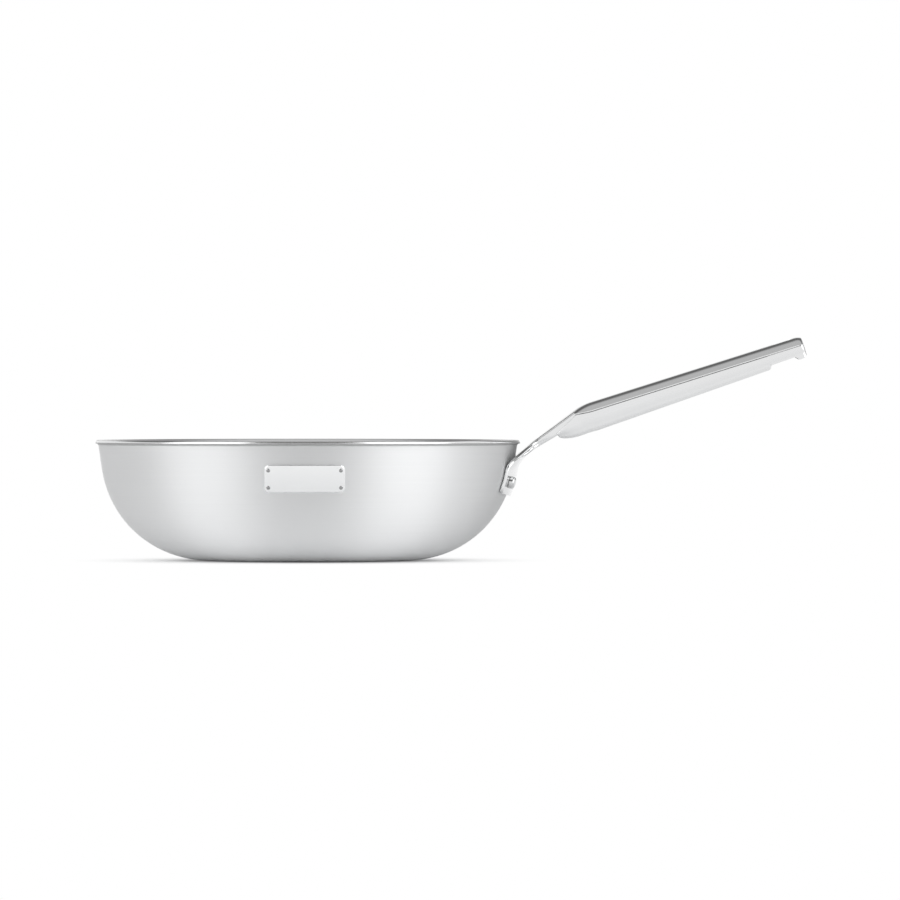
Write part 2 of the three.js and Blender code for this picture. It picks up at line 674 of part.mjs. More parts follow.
function gripBelly() {
  const stations = [...prowStations, ...bendStations, bayStart, ...tailStations];
  const outer = solidOf(loft(stations.map((s) =>
    bellyRing(s, bellyHalfWidth(s), bellyTop(s), bellyDepth(s), BELLY_CORNER_RADIUS))));
  const mouthFront = prowStart - GRIP_SHEET_THICKNESS;
  const hollowEnd = bayStart - GRIP_SHEET_THICKNESS;
  const hollowStations = [mouthFront, ...prowStations, ...bendStations, hollowEnd];
  const hollow = solidOf(loft(hollowStations.map((s) => hollowRing(s, 0))));
  const bayStations = [bayStart, ...tailStations.slice(0, 2), bayEnd];
  const bay = solidOf(loft(bayStations.map((s) => hollowRing(s, GRIP_FRONT_DEPTH))));
  return outer.subtract(hollow).subtract(bay).subtract(notchTool());
}

// Finishes

const satinSteel = new THREE.MeshStandardMaterial({ color: 0xc9cacb, roughness: 0.38, metalness: 1 });
const polishedSteel = new THREE.MeshStandardMaterial({ color: 0xdcdddd, roughness: 0.14, metalness: 1 });
const linerSteel = new THREE.MeshStandardMaterial({ color: 0xd2d3d4, roughness: 0.22, metalness: 1 });
const aluminium = new THREE.MeshStandardMaterial({ color: 0xb9bcbf, roughness: 0.45, metalness: 1 });
const platedPin = new THREE.MeshStandardMaterial({ color: 0x8c8e90, roughness: 0.3, metalness: 1 });

// The assembly

const pan = new THREE.Group();

function addPiece(name, geometry, material) {
  const mesh = new THREE.Mesh(geometry, material);
  mesh.name = name;
  pan.add(mesh);
}

addPiece('outer_skin', geometryOf(bowlLayer(0, SKIN_THICKNESS)), satinSteel);
addPiece('aluminium_core', geometryOf(bowlLayer(coreInset, coreInset + CORE_THICKNESS)), aluminium);
addPiece('inner_liner', geometryOf(bowlLayer(linerInset, wallThickness)), linerSteel);
addPiece('name_plate', geometryOf(namePlate()), polishedSteel);
pinFrames.forEach((frame, i) => addPiece(`plate_pin_${i + 1}`, merged(platePin(frame)), platedPin));
addPiece('handle_stem', geometryOf(handleStem()), polishedSteel);
rivetAzimuths.forEach((azimuth, i) => {
  addPiece(`handle_rivet_${i + 1}`, merged(handleRivet(azimuth)), polishedSteel);
});
addPiece('grip_top', geometryOf(gripTop()), polishedSteel);
addPiece('grip_belly', geometryOf(gripBelly()), polishedSteel);

export default pan;
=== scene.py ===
"""A stir-fry pan: a three-layer steel bowl with a flared lip, a blank name plate pinned to its front, and a
hollow steel handle riveted to its wall. Metres, +Z up, the handle along +X, the name plate facing -Y."""

import math

import bmesh
import bpy
import numpy as np
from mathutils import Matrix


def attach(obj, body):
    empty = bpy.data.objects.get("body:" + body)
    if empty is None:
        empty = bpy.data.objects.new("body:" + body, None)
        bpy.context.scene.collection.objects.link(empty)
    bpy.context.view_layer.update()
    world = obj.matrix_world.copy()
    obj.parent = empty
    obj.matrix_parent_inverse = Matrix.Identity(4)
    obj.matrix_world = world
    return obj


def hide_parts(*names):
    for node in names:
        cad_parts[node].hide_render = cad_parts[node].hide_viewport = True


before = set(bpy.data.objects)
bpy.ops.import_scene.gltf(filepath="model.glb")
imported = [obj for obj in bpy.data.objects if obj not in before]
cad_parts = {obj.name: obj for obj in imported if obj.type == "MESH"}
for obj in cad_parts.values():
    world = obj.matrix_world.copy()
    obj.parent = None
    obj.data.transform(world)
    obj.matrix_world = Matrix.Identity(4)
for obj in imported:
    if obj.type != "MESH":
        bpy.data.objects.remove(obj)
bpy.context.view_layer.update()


# Outer skin: the outside of the bowl, a sheet of stainless steel drawn with the two layers inside it into a
# round base, a leaning wall and a lip that flares out for pouring. The wall is brushed round and round to a
# satin finish. Up under the lip its colour is painted darker, as painted shade.

RIM_RADIUS = 0.140
BODY_HEIGHT = 0.0795
CORNER_RADIUS = 0.070
WALL_LEAN = math.radians(8.4)
WALL_THICKNESS = 0.0025
LIP_BEND_RADIUS = 0.002
LIP_EDGE_ROUND = 0.0016
SKIN_THICKNESS = 0.0005
BASE_POINTS = 30
CORNER_POINTS = 48
WALL_POINTS = 12
LIP_POINTS = 16
LIP_EDGE_POINTS = 9
SPIN_STEPS = 288
MERGE_DISTANCE = 1e-7
CREASE_ANGLE = math.radians(38)

lip_centre = np.array([RIM_RADIUS, BODY_HEIGHT - LIP_BEND_RADIUS - WALL_THICKNESS])
wall_top = lip_centre - LIP_BEND_RADIUS * np.array([math.cos(WALL_LEAN), -math.sin(WALL_LEAN)])
corner_top = CORNER_RADIUS * (1 - math.sin(WALL_LEAN))
corner_top_radius = wall_top[0] - (wall_top[1] - corner_top) * math.tan(WALL_LEAN)
base_radius = corner_top_radius - CORNER_RADIUS * math.cos(WALL_LEAN)


def arc(centre, radius, start, end, count):
    """Points (across, up) on a circle, evenly from one angle to another."""
    angle = np.linspace(start, end, count)
    return np.asarray(centre) + radius * np.column_stack([np.cos(angle), np.sin(angle)])


def straight(start, end, count):
    """Points evenly along a line."""
    share = np.linspace(0, 1, count)[:, None]
    return np.asarray(start) * (1 - share) + np.asarray(end) * share


def portion(value, low, high):
    """How far a value has come from low to high: 0 below low, 1 above high, and even between."""
    return np.clip((value - low) / (high - low), 0, 1)


def lip_point(inset):
    """The lip's edge at a distance inside the bowl's outside: the end of the lip's arc there, drawn back
    towards the inner face by a quarter of an ellipse, so that the polished edge looks up and out."""
    inset = np.asarray(inset, float)
    share = portion(inset, 0, WALL_THICKNESS)
    drawn_back = LIP_EDGE_ROUND * (1 - np.sqrt(1 - share**2))
    radius = LIP_BEND_RADIUS + inset
    angle = math.pi / 2 + drawn_back / radius
    place = lip_centre + radius[..., None] * np.stack([np.cos(angle), np.sin(angle)], -1)
    return place, angle


def bowl_run(inset):
    """The bowl at a distance inside its outside, as (radius, height) from the axis to the lip's edge: a flat
    base, the corner's arc, a straight leaning wall, and the lip's arc, which bends out to the level."""
    base = straight((0, inset), (base_radius, inset), BASE_POINTS)
    corner_centre = (base_radius, CORNER_RADIUS)
    corner = arc(corner_centre, CORNER_RADIUS - inset, -math.pi / 2, -WALL_LEAN, CORNER_POINTS)
    edge_angle = lip_point(inset)[1]
    lip = arc(lip_centre, LIP_BEND_RADIUS + inset, math.pi - WALL_LEAN, edge_angle, LIP_POINTS)
    wall = straight(corner[-1], lip[0], WALL_POINTS)
    return np.concatenate([base[:-1], corner, wall[1:-1], lip])


def bowl_layer(outer_inset, inner_inset):
    """The closed profile of one layer: out along its outer face, over its share of the lip's edge, and
    back along its inner face."""
    edge = lip_point(np.linspace(outer_inset, inner_inset, LIP_EDGE_POINTS))[0]
    return np.concatenate([bowl_run(outer_inset), edge[1:-1], bowl_run(inner_inset)[::-1]])


def turned(profile, steps):
    """Each (radius, height) point of a profile carried once round the upright axis."""
    angle = np.linspace(0, 2 * np.pi, steps + 1)
    radius = profile[:, :1]
    height = profile[:, 1:]
    return np.stack(np.broadcast_arrays(radius * np.cos(angle), radius * np.sin(angle), height), -1)


def put_piece(name, grids, node, material):
    """A piece from grids of points: neighbours in a grid make a face, and points that meet are merged, so
    that wrapped edges, poles and shared borders close. It stands for a CAD node, which it hides."""
    corners = np.concatenate([grid.reshape(-1, 3) for grid in grids])
    faces = []
    start = 0
    for grid in grids:
        rows, columns = grid.shape[:2]
        index = start + np.arange(rows * columns).reshape(rows, columns)
        quads = np.stack([index[:-1, :-1], index[1:, :-1], index[1:, 1:], index[:-1, 1:]], -1)
        faces.append(quads.reshape(-1, 4))
        start += rows * columns
    mesh = bpy.data.meshes.new(name)
    mesh.from_pydata(corners.tolist(), [], np.concatenate(faces).tolist())
    work = bmesh.new()
    work.from_mesh(mesh)
    bmesh.ops.remove_doubles(work, verts=work.verts, dist=MERGE_DISTANCE)
    bmesh.ops.recalc_face_normals(work, faces=work.faces)
    work.to_mesh(mesh)
    work.free()
    mesh.shade_smooth()
    mesh.set_sharp_from_angle(angle=CREASE_ANGLE)
    mesh.materials.append(material)
    piece = bpy.data.objects.new(name, mesh)
    bpy.context.scene.collection.objects.link(piece)
    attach(piece, "root")
    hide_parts(node)


class Wire:
    """A value in a material's nodes. Operators on it add Math nodes, and node() adds any other node."""

    def __init__(self, tree, socket=None):
        self.tree = tree
        self.socket = socket

    def node(self, kind, settings, sockets, output=0):
        """Adds a node: its settings first, then a value or a link for each named socket. Gives one output."""
        made = self.tree.nodes.new(kind)
        for key, value in settings.items():
            setattr(made, key, value)
        for key, value in sockets.items():
            self.feed(made.inputs[key], value)
        return Wire(self.tree, made.outputs[output])

    def feed(self, entry, value):
        """A link from a wire into a socket, or a plain value set on it."""
        if isinstance(value, Wire):
            self.tree.links.new(value.socket, entry)
        else:
            entry.default_value = value

    def maths(self, operation, first, second=0.0):
        """One Math node on two values."""
        return self.node("ShaderNodeMath", {"operation": operation}, {0: first, 1: second})

    def __add__(self, other):
        return self.maths("ADD", self, other)

    __radd__ = __add__

    def __sub__(self, other):
        return self.maths("SUBTRACT", self, other)

    def __rsub__(self, other):
        return self.maths("SUBTRACT", other, self)

    def __mul__(self, other):
        return self.maths("MULTIPLY", self, other)

    __rmul__ = __mul__

    def __pow__(self, other):
        return self.maths("POWER", self, other)

    def along(self, axis):
        """One of the X, Y and Z of a vector."""
        return self.node("ShaderNodeSeparateXYZ", {}, {"Vector": self}, axis)

    def vector(self, x, y, z):
        """A vector from its X, Y and Z."""
        return self.node("ShaderNodeCombineXYZ", {}, {"X": x, "Y": y, "Z": z})

    def noise(self, place, scale, detail):
        """Cloudy grain from 0 to 1 about 0.5."""
        sockets = {"Vector": place, "Scale": scale, "Detail": detail}
        return self.node("ShaderNodeTexNoise", {}, sockets, "Fac")

    def blend(self, share, first, second):
        """From one colour to another by a share. A Mix node's colours are sockets 6 and 7, and output 2."""
        settings = {"data_type": "RGBA"}
        return self.node("ShaderNodeMix", settings, {0: share, 6: first, 7: second}, 2)

    def eased(self, value, low, high):
        """0 below low, 1 above high, and a smooth step between."""
        settings = {"interpolation_type": "SMOOTHSTEP"}
        return self.node("ShaderNodeMapRange", settings, {"Value": value, "From Min": low, "From Max": high})


COOL_RED = 0.995
COOL_BLUE = 1.004
GRAIN_MIDDLE = 0.5
LINE_DETAIL = 3.0
HAZE_DETAIL = 2.0
TURNED_STRETCH = 9.0
TURNED_HAZE_SCALE = 14.0
TURNED_MARKS = {"line_share": 0.6, "spread": 0.04, "line_sway": 0.10, "haze_sway": 0.06, "bump": 0.35}
HIGHLIGHT_TURN = 0.25
# Painted shade under the lip: the share of the level that the colour keeps there, how far above the wall's
# top it starts, and over what height it fades in.
LIP_SHADE_SHARE = 0.6
LIP_SHADE_START = 0.0004
LIP_SHADE_FADE = 0.0006


def new_material(name):
    """A plain metal to build on: the material, its Principled shader's inputs and a wire."""
    material = bpy.data.materials.new(name)
    material.use_nodes = True
    shader = material.node_tree.nodes["Principled BSDF"]
    shader.inputs["Metallic"].default_value = 1.0
    return material, shader.inputs, Wire(material.node_tree)


def grey(level):
    """A faintly cool grey of that brightness."""
    return (level * COOL_RED, level, level * COOL_BLUE, 1.0)


def feed_marks(wire, inputs, lines, haze, roughness, grain_depth, marks):
    """Roughness that sways about its middle with the lines and the haze, and a faint bump along the lines."""
    swayed = roughness + (lines - GRAIN_MIDDLE) * marks["line_sway"]
    wire.feed(inputs["Roughness"], swayed + (haze - GRAIN_MIDDLE) * marks["haze_sway"])
    bump = {"Strength": marks["bump"], "Distance": grain_depth, "Height": lines}
    wire.feed(inputs["Normal"], wire.node("ShaderNodeBump", {}, bump))


def marked_grey(wire, lines, haze, level, marks):
    """A grey that spreads a little about its level, by a share of the lines and the rest of the haze."""
    tone = lines * marks["line_share"] + haze * (1 - marks["line_share"])
    return wire.blend(tone, grey(level * (1 - marks["spread"])), grey(level * (1 + marks["spread"])))


def turned_metal(name, level, roughness, grain_pitch, grain_depth, anisotropic, painted_shade_from):
    """Metal finished while it turned: fine lines run round the axis, from a noise that changes quickly along
    the bowl's run (radius plus height) and slowly round it, over a broad haze left by the polishing wheel.
    Above a given height its colour is painted darker: painted shade."""
    material, inputs, wire = new_material(name)
    place = wire.node("ShaderNodeTexCoord", {}, {}, "Object")
    x, y, z = place.along(0), place.along(1), place.along(2)
    run = (x * x + y * y) ** 0.5 + z
    stretched = wire.vector(x * TURNED_STRETCH, y * TURNED_STRETCH, run * (1 / grain_pitch))
    lines = wire.noise(stretched, 1.0, LINE_DETAIL)
    haze = wire.noise(place, TURNED_HAZE_SCALE, HAZE_DETAIL)
    finished = marked_grey(wire, lines, haze, level, TURNED_MARKS)
    # Painted shade: above the given height the colour is blended to a darker grey.
    painted_shade = wire.eased(z, painted_shade_from, painted_shade_from + LIP_SHADE_FADE)
    wire.feed(inputs["Base Color"], wire.blend(painted_shade, finished, grey(level * LIP_SHADE_SHARE)))
    feed_marks(wire, inputs, lines, haze, roughness, grain_depth, TURNED_MARKS)
    inputs["Anisotropic"].default_value = anisotropic
    inputs["Anisotropic Rotation"].default_value = HIGHLIGHT_TURN
    return material


# The outer skin gets painted shade from just above the wall's top, up under the lip.
satin_steel = turned_metal("satin_steel", level=0.94, roughness=0.68, grain_pitch=0.0006, grain_depth=0.00002,
                           anisotropic=0.86, painted_shade_from=wall_top[1] + LIP_SHADE_START)
put_piece("satin_outer_skin", [turned(bowl_layer(0, SKIN_THICKNESS), SPIN_STEPS)],
          "outer_skin", satin_steel)


# Aluminium core: the thick middle layer, which spreads the heat. It is bonded between the two steel sheets
# and shows only as a thin, duller band in the cut edge of the lip.

BOND_GAP = 0.00005
CORE_THICKNESS = 0.0015

core_inset = SKIN_THICKNESS + BOND_GAP
liner_inset = core_inset + CORE_THICKNESS + BOND_GAP
core_aluminium = turned_metal("core_aluminium", level=0.72, roughness=0.20, grain_pitch=0.0002,
                              grain_depth=0.00001, anisotropic=0.0, painted_shade_from=BODY_HEIGHT)
put_piece("aluminium_core_layer", [turned(bowl_layer(core_inset, core_inset + CORE_THICKNESS), SPIN_STEPS)],
          "aluminium_core", core_aluminium)


# Inner liner: the cooking surface, a thin sheet of stainless steel over the core. It is finished while it
# turns, to a soft sheen that is smoother than the outside's and runs up over the lip's top.

liner_steel = turned_metal("liner_steel", level=0.86, roughness=0.34, grain_pitch=0.0008,
                           grain_depth=0.00001, anisotropic=0.3, painted_shade_from=BODY_HEIGHT)
put_piece("polished_inner_liner", [turned(bowl_layer(liner_inset, WALL_THICKNESS), SPIN_STEPS)],
          "inner_liner", liner_steel)


# Name plate: a small blank plate of bright steel with rounded corners, bent to the wall's curve and pinned
# to the front of the pan. Its edges are rounded over by the polishing.

PLATE_WIDTH = 0.052
PLATE_HEIGHT = 0.018
PLATE_DEPTH_BELOW_RIM = 0.0246
PLATE_CORNER_RADIUS = 0.003
PLATE_BACK = 0.0001
PLATE_FACE = 0.0011
PLATE_EDGE_ROUND = 0.0009
PLATE_CORNER_POINTS = 9
PLATE_SIDE_POINTS = 24
PLATE_FILL_RINGS = 14
PLATE_EDGE_RINGS = 6

plate_centre_height = BODY_HEIGHT - PLATE_DEPTH_BELOW_RIM


def wall_radius(height, outside=0.0):
    """Radius of the surface that lies a distance outside the bowl's wall, at a height: above the corner a
    line that leans with the wall, below it the corner's circle, grown by that distance."""
    line = corner_top_radius + (height - corner_top) * math.tan(WALL_LEAN) + outside / math.cos(WALL_LEAN)
    grown = CORNER_RADIUS + outside
    circle = base_radius + np.sqrt(grown**2 - (CORNER_RADIUS - height) ** 2)
    return np.where(height > CORNER_RADIUS - grown * math.sin(WALL_LEAN), line, circle)


def rounded_rectangle(width, height, radius, inset):
    """A rectangle with round corners, drawn in by an inset, as (across, up) points once round: quarter
    arcs, each followed by a straight side, with the same number of points for every inset."""
    round_off = max(radius - inset, 0)
    reach = np.array([width, height]) / 2 - inset - round_off
    centres = np.array([[1, 1], [-1, 1], [-1, -1], [1, -1]]) * reach
    quarter = math.pi / 2
    arcs = [arc(centres[n], round_off, n * quarter, (n + 1) * quarter, PLATE_CORNER_POINTS) for n in range(4)]
    sides = [straight(arcs[n][-1], arcs[(n + 1) % 4][0], PLATE_SIDE_POINTS)[1:-1] for n in range(4)]
    return np.concatenate([points for pair in zip(arcs, sides) for points in pair] + [arcs[0][:1]])


def on_front_wall(outline, outside):
    """Flat (across, up) points about the plate's centre, laid on the surface that far outside the wall, on
    the side that faces -Y."""
    across = outline[..., 0]
    height = plate_centre_height + outline[..., 1]
    radius = wall_radius(height, outside)
    return np.stack([across, -np.sqrt(radius**2 - across**2), height], -1)


def name_plate_grid():
    """Rings of the plate's outline: from the middle of its back out to the edge, round the edge, and in
    again over the face, drawn in each time until they close on the plate's middle line."""
    fill = np.linspace(PLATE_HEIGHT / 2, 0, PLATE_FILL_RINGS)
    turn = np.linspace(0, math.pi / 2, PLATE_EDGE_RINGS)
    edge_inset = PLATE_EDGE_ROUND * (1 - np.cos(turn))
    edge_outside = PLATE_FACE - PLATE_EDGE_ROUND * (1 - np.sin(turn))
    face = np.linspace(PLATE_EDGE_ROUND, PLATE_HEIGHT / 2, PLATE_FILL_RINGS)[1:]
    insets = np.concatenate([fill, edge_inset, face])
    outsides = np.concatenate([np.full(len(fill), PLATE_BACK), edge_outside, np.full(len(face), PLATE_FACE)])
    outlines = [rounded_rectangle(PLATE_WIDTH, PLATE_HEIGHT, PLATE_CORNER_RADIUS, inset) for inset in insets]
    return np.stack([on_front_wall(outline, outside) for outline, outside in zip(outlines, outsides)])


DRAWN_STRETCH = 25.0
DRAWN_HAZE_SCALE = 40.0
DRAWN_MARKS = {"line_share": 0.5, "spread": 0.03, "line_sway": 0.06, "haze_sway": 0.05, "bump": 0.25}


def drawn_steel(name, level, roughness, tilt, grain_pitch, grain_depth):
    """Metal polished along its length: fine lines run along X, tilted up by an angle, from a noise that
    changes quickly across them and slowly along them, over a broad haze."""
    material, inputs, wire = new_material(name)
    place = wire.node("ShaderNodeTexCoord", {}, {}, "Object")
    turned_place = wire.node("ShaderNodeMapping", {}, {"Vector": place, "Rotation": (0.0, tilt, 0.0)})
    pitch = 1 / grain_pitch
    stretched = wire.vector(turned_place.along(0) * DRAWN_STRETCH, turned_place.along(1) * pitch,
                            turned_place.along(2) * pitch)
    lines = wire.noise(stretched, 1.0, LINE_DETAIL)
    haze = wire.noise(place, DRAWN_HAZE_SCALE, HAZE_DETAIL)
    wire.feed(inputs["Base Color"], marked_grey(wire, lines, haze, level, DRAWN_MARKS))
    feed_marks(wire, inputs, lines, haze, roughness, grain_depth, DRAWN_MARKS)
    return material


plate_steel = drawn_steel("plate_steel", level=0.88, roughness=0.20, tilt=0.0, grain_pitch=0.0003,
                          grain_depth=0.00001)
put_piece("blank_name_plate", [name_plate_grid()], "name_plate", plate_steel)


# Plate pins: four small drive pins with domed heads, one in each corner of the name plate, pressed through
# it into the wall. Their steel's colour is painted dark, as painted reflection of the dark that the domes
# mirror.

PIN_INSET_ACROSS = 0.0027
PIN_INSET_UP = 0.0035
PIN_SHANK_RADIUS = 0.0008
PIN_HEAD_RADIUS = 0.0013
PIN_HEAD_HEIGHT = 0.0005
PIN_FOOT = 0.00015
PIN_HEAD_POINTS = 9
PIN_SPIN_STEPS = 32


def wall_dip(height):
    """How far the wall's outward direction dips below the level, at a height: the angle on the corner's
    circle, and above the corner the wall's lean."""
    return max(math.asin((CORNER_RADIUS - height) / CORNER_RADIUS), WALL_LEAN)


def on_wall_frame(grid, azimuth, height):
    """Points of a small piece turned about its own axis, set on the outside of the wall with that axis
    along the wall's outward direction."""
    dip = wall_dip(height)
    level = np.array([math.cos(azimuth), math.sin(azimuth), 0])
    sideways = np.array([-math.sin(azimuth), math.cos(azimuth), 0])
    outward = level * math.cos(dip) - np.array([0, 0, math.sin(dip)])
    upward = np.cross(outward, sideways)
    place = level * wall_radius(height) + np.array([0, 0, height])
    return place + grid[..., :1] * sideways + grid[..., 1:2] * upward + grid[..., 2:] * outward


def dome(radius, base, height, count, fullness=1.0):
    """A quarter ellipse of (radius, height) points from its rim to its crown on the axis. A fullness under
    1, the power of its sine and cosine, squares its shoulder."""
    angle = np.linspace(0, math.pi / 2, count)
    return np.column_stack([radius * np.cos(angle) ** fullness, base + height * np.sin(angle) ** fullness])


# The pins' colour is painted dark: a painted reflection, standing in for the dark that their domes mirror.
pin_steel = drawn_steel("pin_steel", level=0.34, roughness=0.24, tilt=0.0, grain_pitch=0.0002,
                        grain_depth=0.00001)
pin_profile = np.concatenate([
    [[0, PIN_FOOT], [PIN_SHANK_RADIUS, PIN_FOOT], [PIN_SHANK_RADIUS, PLATE_FACE]],
    dome(PIN_HEAD_RADIUS, PLATE_FACE, PIN_HEAD_HEIGHT, PIN_HEAD_POINTS),
])
for number, (across, up) in enumerate([(-1, -1), (1, -1), (1, 1), (-1, 1)], 1):
    pin_height = plate_centre_height + up * (PLATE_HEIGHT / 2 - PIN_INSET_UP)
    pin_swing = math.asin((PLATE_WIDTH / 2 - PIN_INSET_ACROSS) / wall_radius(pin_height))
    pin_azimuth = -math.pi / 2 + across * pin_swing
    pin_grid = on_wall_frame(turned(pin_profile, PIN_SPIN_STEPS), pin_azimuth, pin_height)
    put_piece(f"name_plate_pin_{number}", [pin_grid], f"plate_pin_{number}", pin_steel)


# Handle stem: one bar of polished steel. Its foot is a wide bracket bent to the wall, which sweeps in to a
# stem that leaves the wall below the lip, rises over it and ends in a tongue inside the grip.

SEAT_GAP = 0.0003
BRACKET_DEPTH_BELOW_RIM = 0.0143
BRACKET_HEIGHT = 0.022
BRACKET_TOP_HALF_WIDTH = 0.040
BRACKET_FOOT_HALF_WIDTH = 0.041
BRACKET_THICKNESS = 0.0024
BRACKET_CORNER_RADIUS = 0.004
FLARE_START = -0.001
FLARE_END = 0.0292
STEM_DEPTH_BELOW_BRACKET_TOP = 0.0069
STEM_ROOT_BEND_RADIUS = 0.030
STEM_RISE = math.radians(36.8)
STEM_LENGTH = 0.03403
STEM_ROOT_HALF_WIDTH = 0.0098
STEM_THICKNESS = 0.005
STEM_END_HALF_WIDTH = 0.0092
STEM_END_THICKNESS = 0.0068
BRACKET_EDGE_ROUND = 0.0009
STEM_EDGE_ROUND = 0.0016
STEM_DRAFT = 0.0012
STEM_END_GAP = 0.0001
TONGUE_LENGTH = 0.028
TONGUE_HALF_WIDTH = 0.0055
TONGUE_THICKNESS = 0.003
GRIP_RISE = math.radians(17.5)
GRIP_BEND_RADIUS = 0.040
GRIP_LENGTH = 0.1449
GRIP_HALF_WIDTH = 0.012
GRIP_CROWN_HEIGHT = 0.0060
ARCH_FRONT_HEIGHT = 0.0022
CROWN_EDGE_HEIGHT = 0.0006
GRIP_SHEET = 0.0012
PROW_LENGTH = 0.0175
ARCH_FULLNESS = 0.75
SPINE_MARGIN = 0.002
SPINE_POINTS = 4001
BAR_ACROSS_POINTS = 41
BAR_EDGE_POINTS = 7
BAR_SIDE_POINTS = 10
FOOT_RINGS = 12
STEM_RINGS = 90
TONGUE_RINGS = 24

bracket_top = BODY_HEIGHT - BRACKET_DEPTH_BELOW_RIM
bracket_foot = bracket_top - BRACKET_HEIGHT
leaves_wall_at = bracket_top - STEM_DEPTH_BELOW_BRACKET_TOP
root_rise = math.pi / 2 - WALL_LEAN
stem_start = STEM_ROOT_BEND_RADIUS * (root_rise - STEM_RISE)
grip_start = stem_start + STEM_LENGTH
grip_straight = grip_start + GRIP_BEND_RADIUS * (STEM_RISE - GRIP_RISE)
grip_end = grip_straight + GRIP_LENGTH
prow_start = grip_start - PROW_LENGTH
corner_run = -(leaves_wall_at - corner_top) / math.cos(WALL_LEAN)
foot_run = corner_run - (CORNER_RADIUS + SEAT_GAP) * (wall_dip(bracket_foot) - WALL_LEAN)


def smooth_step(value, low, high):
    """0 below low, 1 above high, and an S-curve between."""
    share = portion(value, low, high)
    return share * share * (3 - 2 * share)


def spine_rise(s):
    """Angle above level of the handle's top line, a distance along it from where it leaves the wall: the
    wall's own slope below that, then a bend out to the stem's rise, and a second bend down to the grip's."""
    s = np.asarray(s, float)
    on_corner = np.maximum(corner_run - s, 0) / (CORNER_RADIUS + SEAT_GAP)
    first_bend = portion(s, 0, stem_start)
    second_bend = portion(s, grip_start, grip_straight)
    rise = root_rise - on_corner + (STEM_RISE - root_rise) * first_bend
    return rise + (GRIP_RISE - STEM_RISE) * second_bend


spine_s = np.linspace(foot_run - SPINE_MARGIN, grip_end + SPINE_MARGIN, SPINE_POINTS)
spine_middle = spine_rise((spine_s[1:] + spine_s[:-1]) / 2)
spine_steps = np.diff(spine_s)[:, None] * np.column_stack([np.cos(spine_middle), np.sin(spine_middle)])
spine_sum = np.concatenate([[[0.0, 0.0]], np.cumsum(spine_steps, 0)])
spine_offset = np.array([np.interp(0, spine_s, spine_sum[:, 0]), np.interp(0, spine_s, spine_sum[:, 1])])
spine_leaves = np.array([
    wall_radius(leaves_wall_at) + SEAT_GAP * math.cos(WALL_LEAN),
    leaves_wall_at - SEAT_GAP * math.sin(WALL_LEAN),
])
spine_points = spine_sum - spine_offset + spine_leaves


def on_section(s, sideways, depth):
    """A point of the handle: along the top line, to one side, and at a depth square to it. The top line is
    the running sum of short steps at its rise."""
    s, sideways, depth = np.broadcast_arrays(s, sideways, depth)
    rise = spine_rise(s)
    out = np.interp(s, spine_s, spine_points[:, 0]) + depth * np.sin(rise)
    up = np.interp(s, spine_s, spine_points[:, 1]) - depth * np.cos(rise)
    return np.stack([out, sideways, up], -1)


def arch(share):
    """How far a crowned top has dropped, from 0 on the centre line to 1 at its edges: part of an ellipse."""
    drop = 1 - np.sqrt(1 - ARCH_FULLNESS * share**2)
    return drop / (1 - math.sqrt(1 - ARCH_FULLNESS))


def arch_height(s):
    """Height of the grip's arch: low where the stem ends, and by a parabola full where the grip is
    straight, so that its edge runs on in a straight line while the back bends."""
    full = GRIP_CROWN_HEIGHT - CROWN_EDGE_HEIGHT
    left = 1 - portion(s, grip_start, grip_straight)
    return full - (full - ARCH_FRONT_HEIGHT) * left**2


def bar_rings(s, half_width, top, bottom, edge_round, draft):
    """Closed sections of a flat bar: across its top face, round one edge, down a side that draws in by a
    parabola, round the lower edge, back across its underside and up the other side. Top and bottom are
    functions of (s, sideways), and the edges are quarter circles."""
    across = np.linspace(1, -1, BAR_ACROSS_POINTS)
    quarter = np.linspace(0, math.pi / 2, BAR_EDGE_POINTS)
    fall = np.linspace(0, 1, BAR_SIDE_POINTS)[1:-1]
    flat = half_width - edge_round
    over = edge_round * np.sin(quarter)
    side = np.concatenate([flat + over, half_width - draft * fall**2, (flat - draft + over)[..., ::-1]], -1)
    share = np.concatenate([0 * quarter, fall, 1 + 0 * quarter])
    upper = top(s, flat) + edge_round
    lower = bottom(s, flat - draft) - edge_round
    bend = edge_round * np.concatenate([-np.cos(quarter), 0 * fall, np.cos(quarter[::-1])])
    side_depth = upper * (1 - share) + lower * share + bend
    floor = (flat - draft) * across
    sideways = np.concatenate([flat * across, -side, -floor, side[..., ::-1]], -1)
    depth = np.concatenate([top(s, flat * across), side_depth, bottom(s, floor), side_depth[..., ::-1]], -1)
    rings = on_section(s, sideways, depth)
    return np.concatenate([rings, rings[:, :1]], 1)


def stem_half_width(s):
    """Half the bar's width: the bracket with its rounded lower corners, and by an S-curve of the fifth
    power the stem, which tapers to fit inside the grip."""
    ear_top = bracket_top - leaves_wall_at
    share = portion(s, foot_run, ear_top)
    near_foot = np.clip(BRACKET_CORNER_RADIUS - (s - foot_run), 0, BRACKET_CORNER_RADIUS)
    corner = BRACKET_CORNER_RADIUS - np.sqrt(BRACKET_CORNER_RADIUS**2 - near_foot**2)
    bracket = BRACKET_FOOT_HALF_WIDTH + (BRACKET_TOP_HALF_WIDTH - BRACKET_FOOT_HALF_WIDTH) * share - corner
    taper = portion(s, 0, prow_start)
    stem = STEM_ROOT_HALF_WIDTH + (STEM_END_HALF_WIDTH - STEM_ROOT_HALF_WIDTH) * taper
    swept = portion(s, FLARE_START, FLARE_END)
    return bracket + (stem - bracket) * swept**3 * (10 - 15 * swept + 6 * swept**2)


def wall_dish(sideways):
    """How far the wall curves away behind its own tangent, to one side: the drop of a circle."""
    return np.sqrt(spine_leaves[0] ** 2 - sideways**2) - spine_leaves[0]


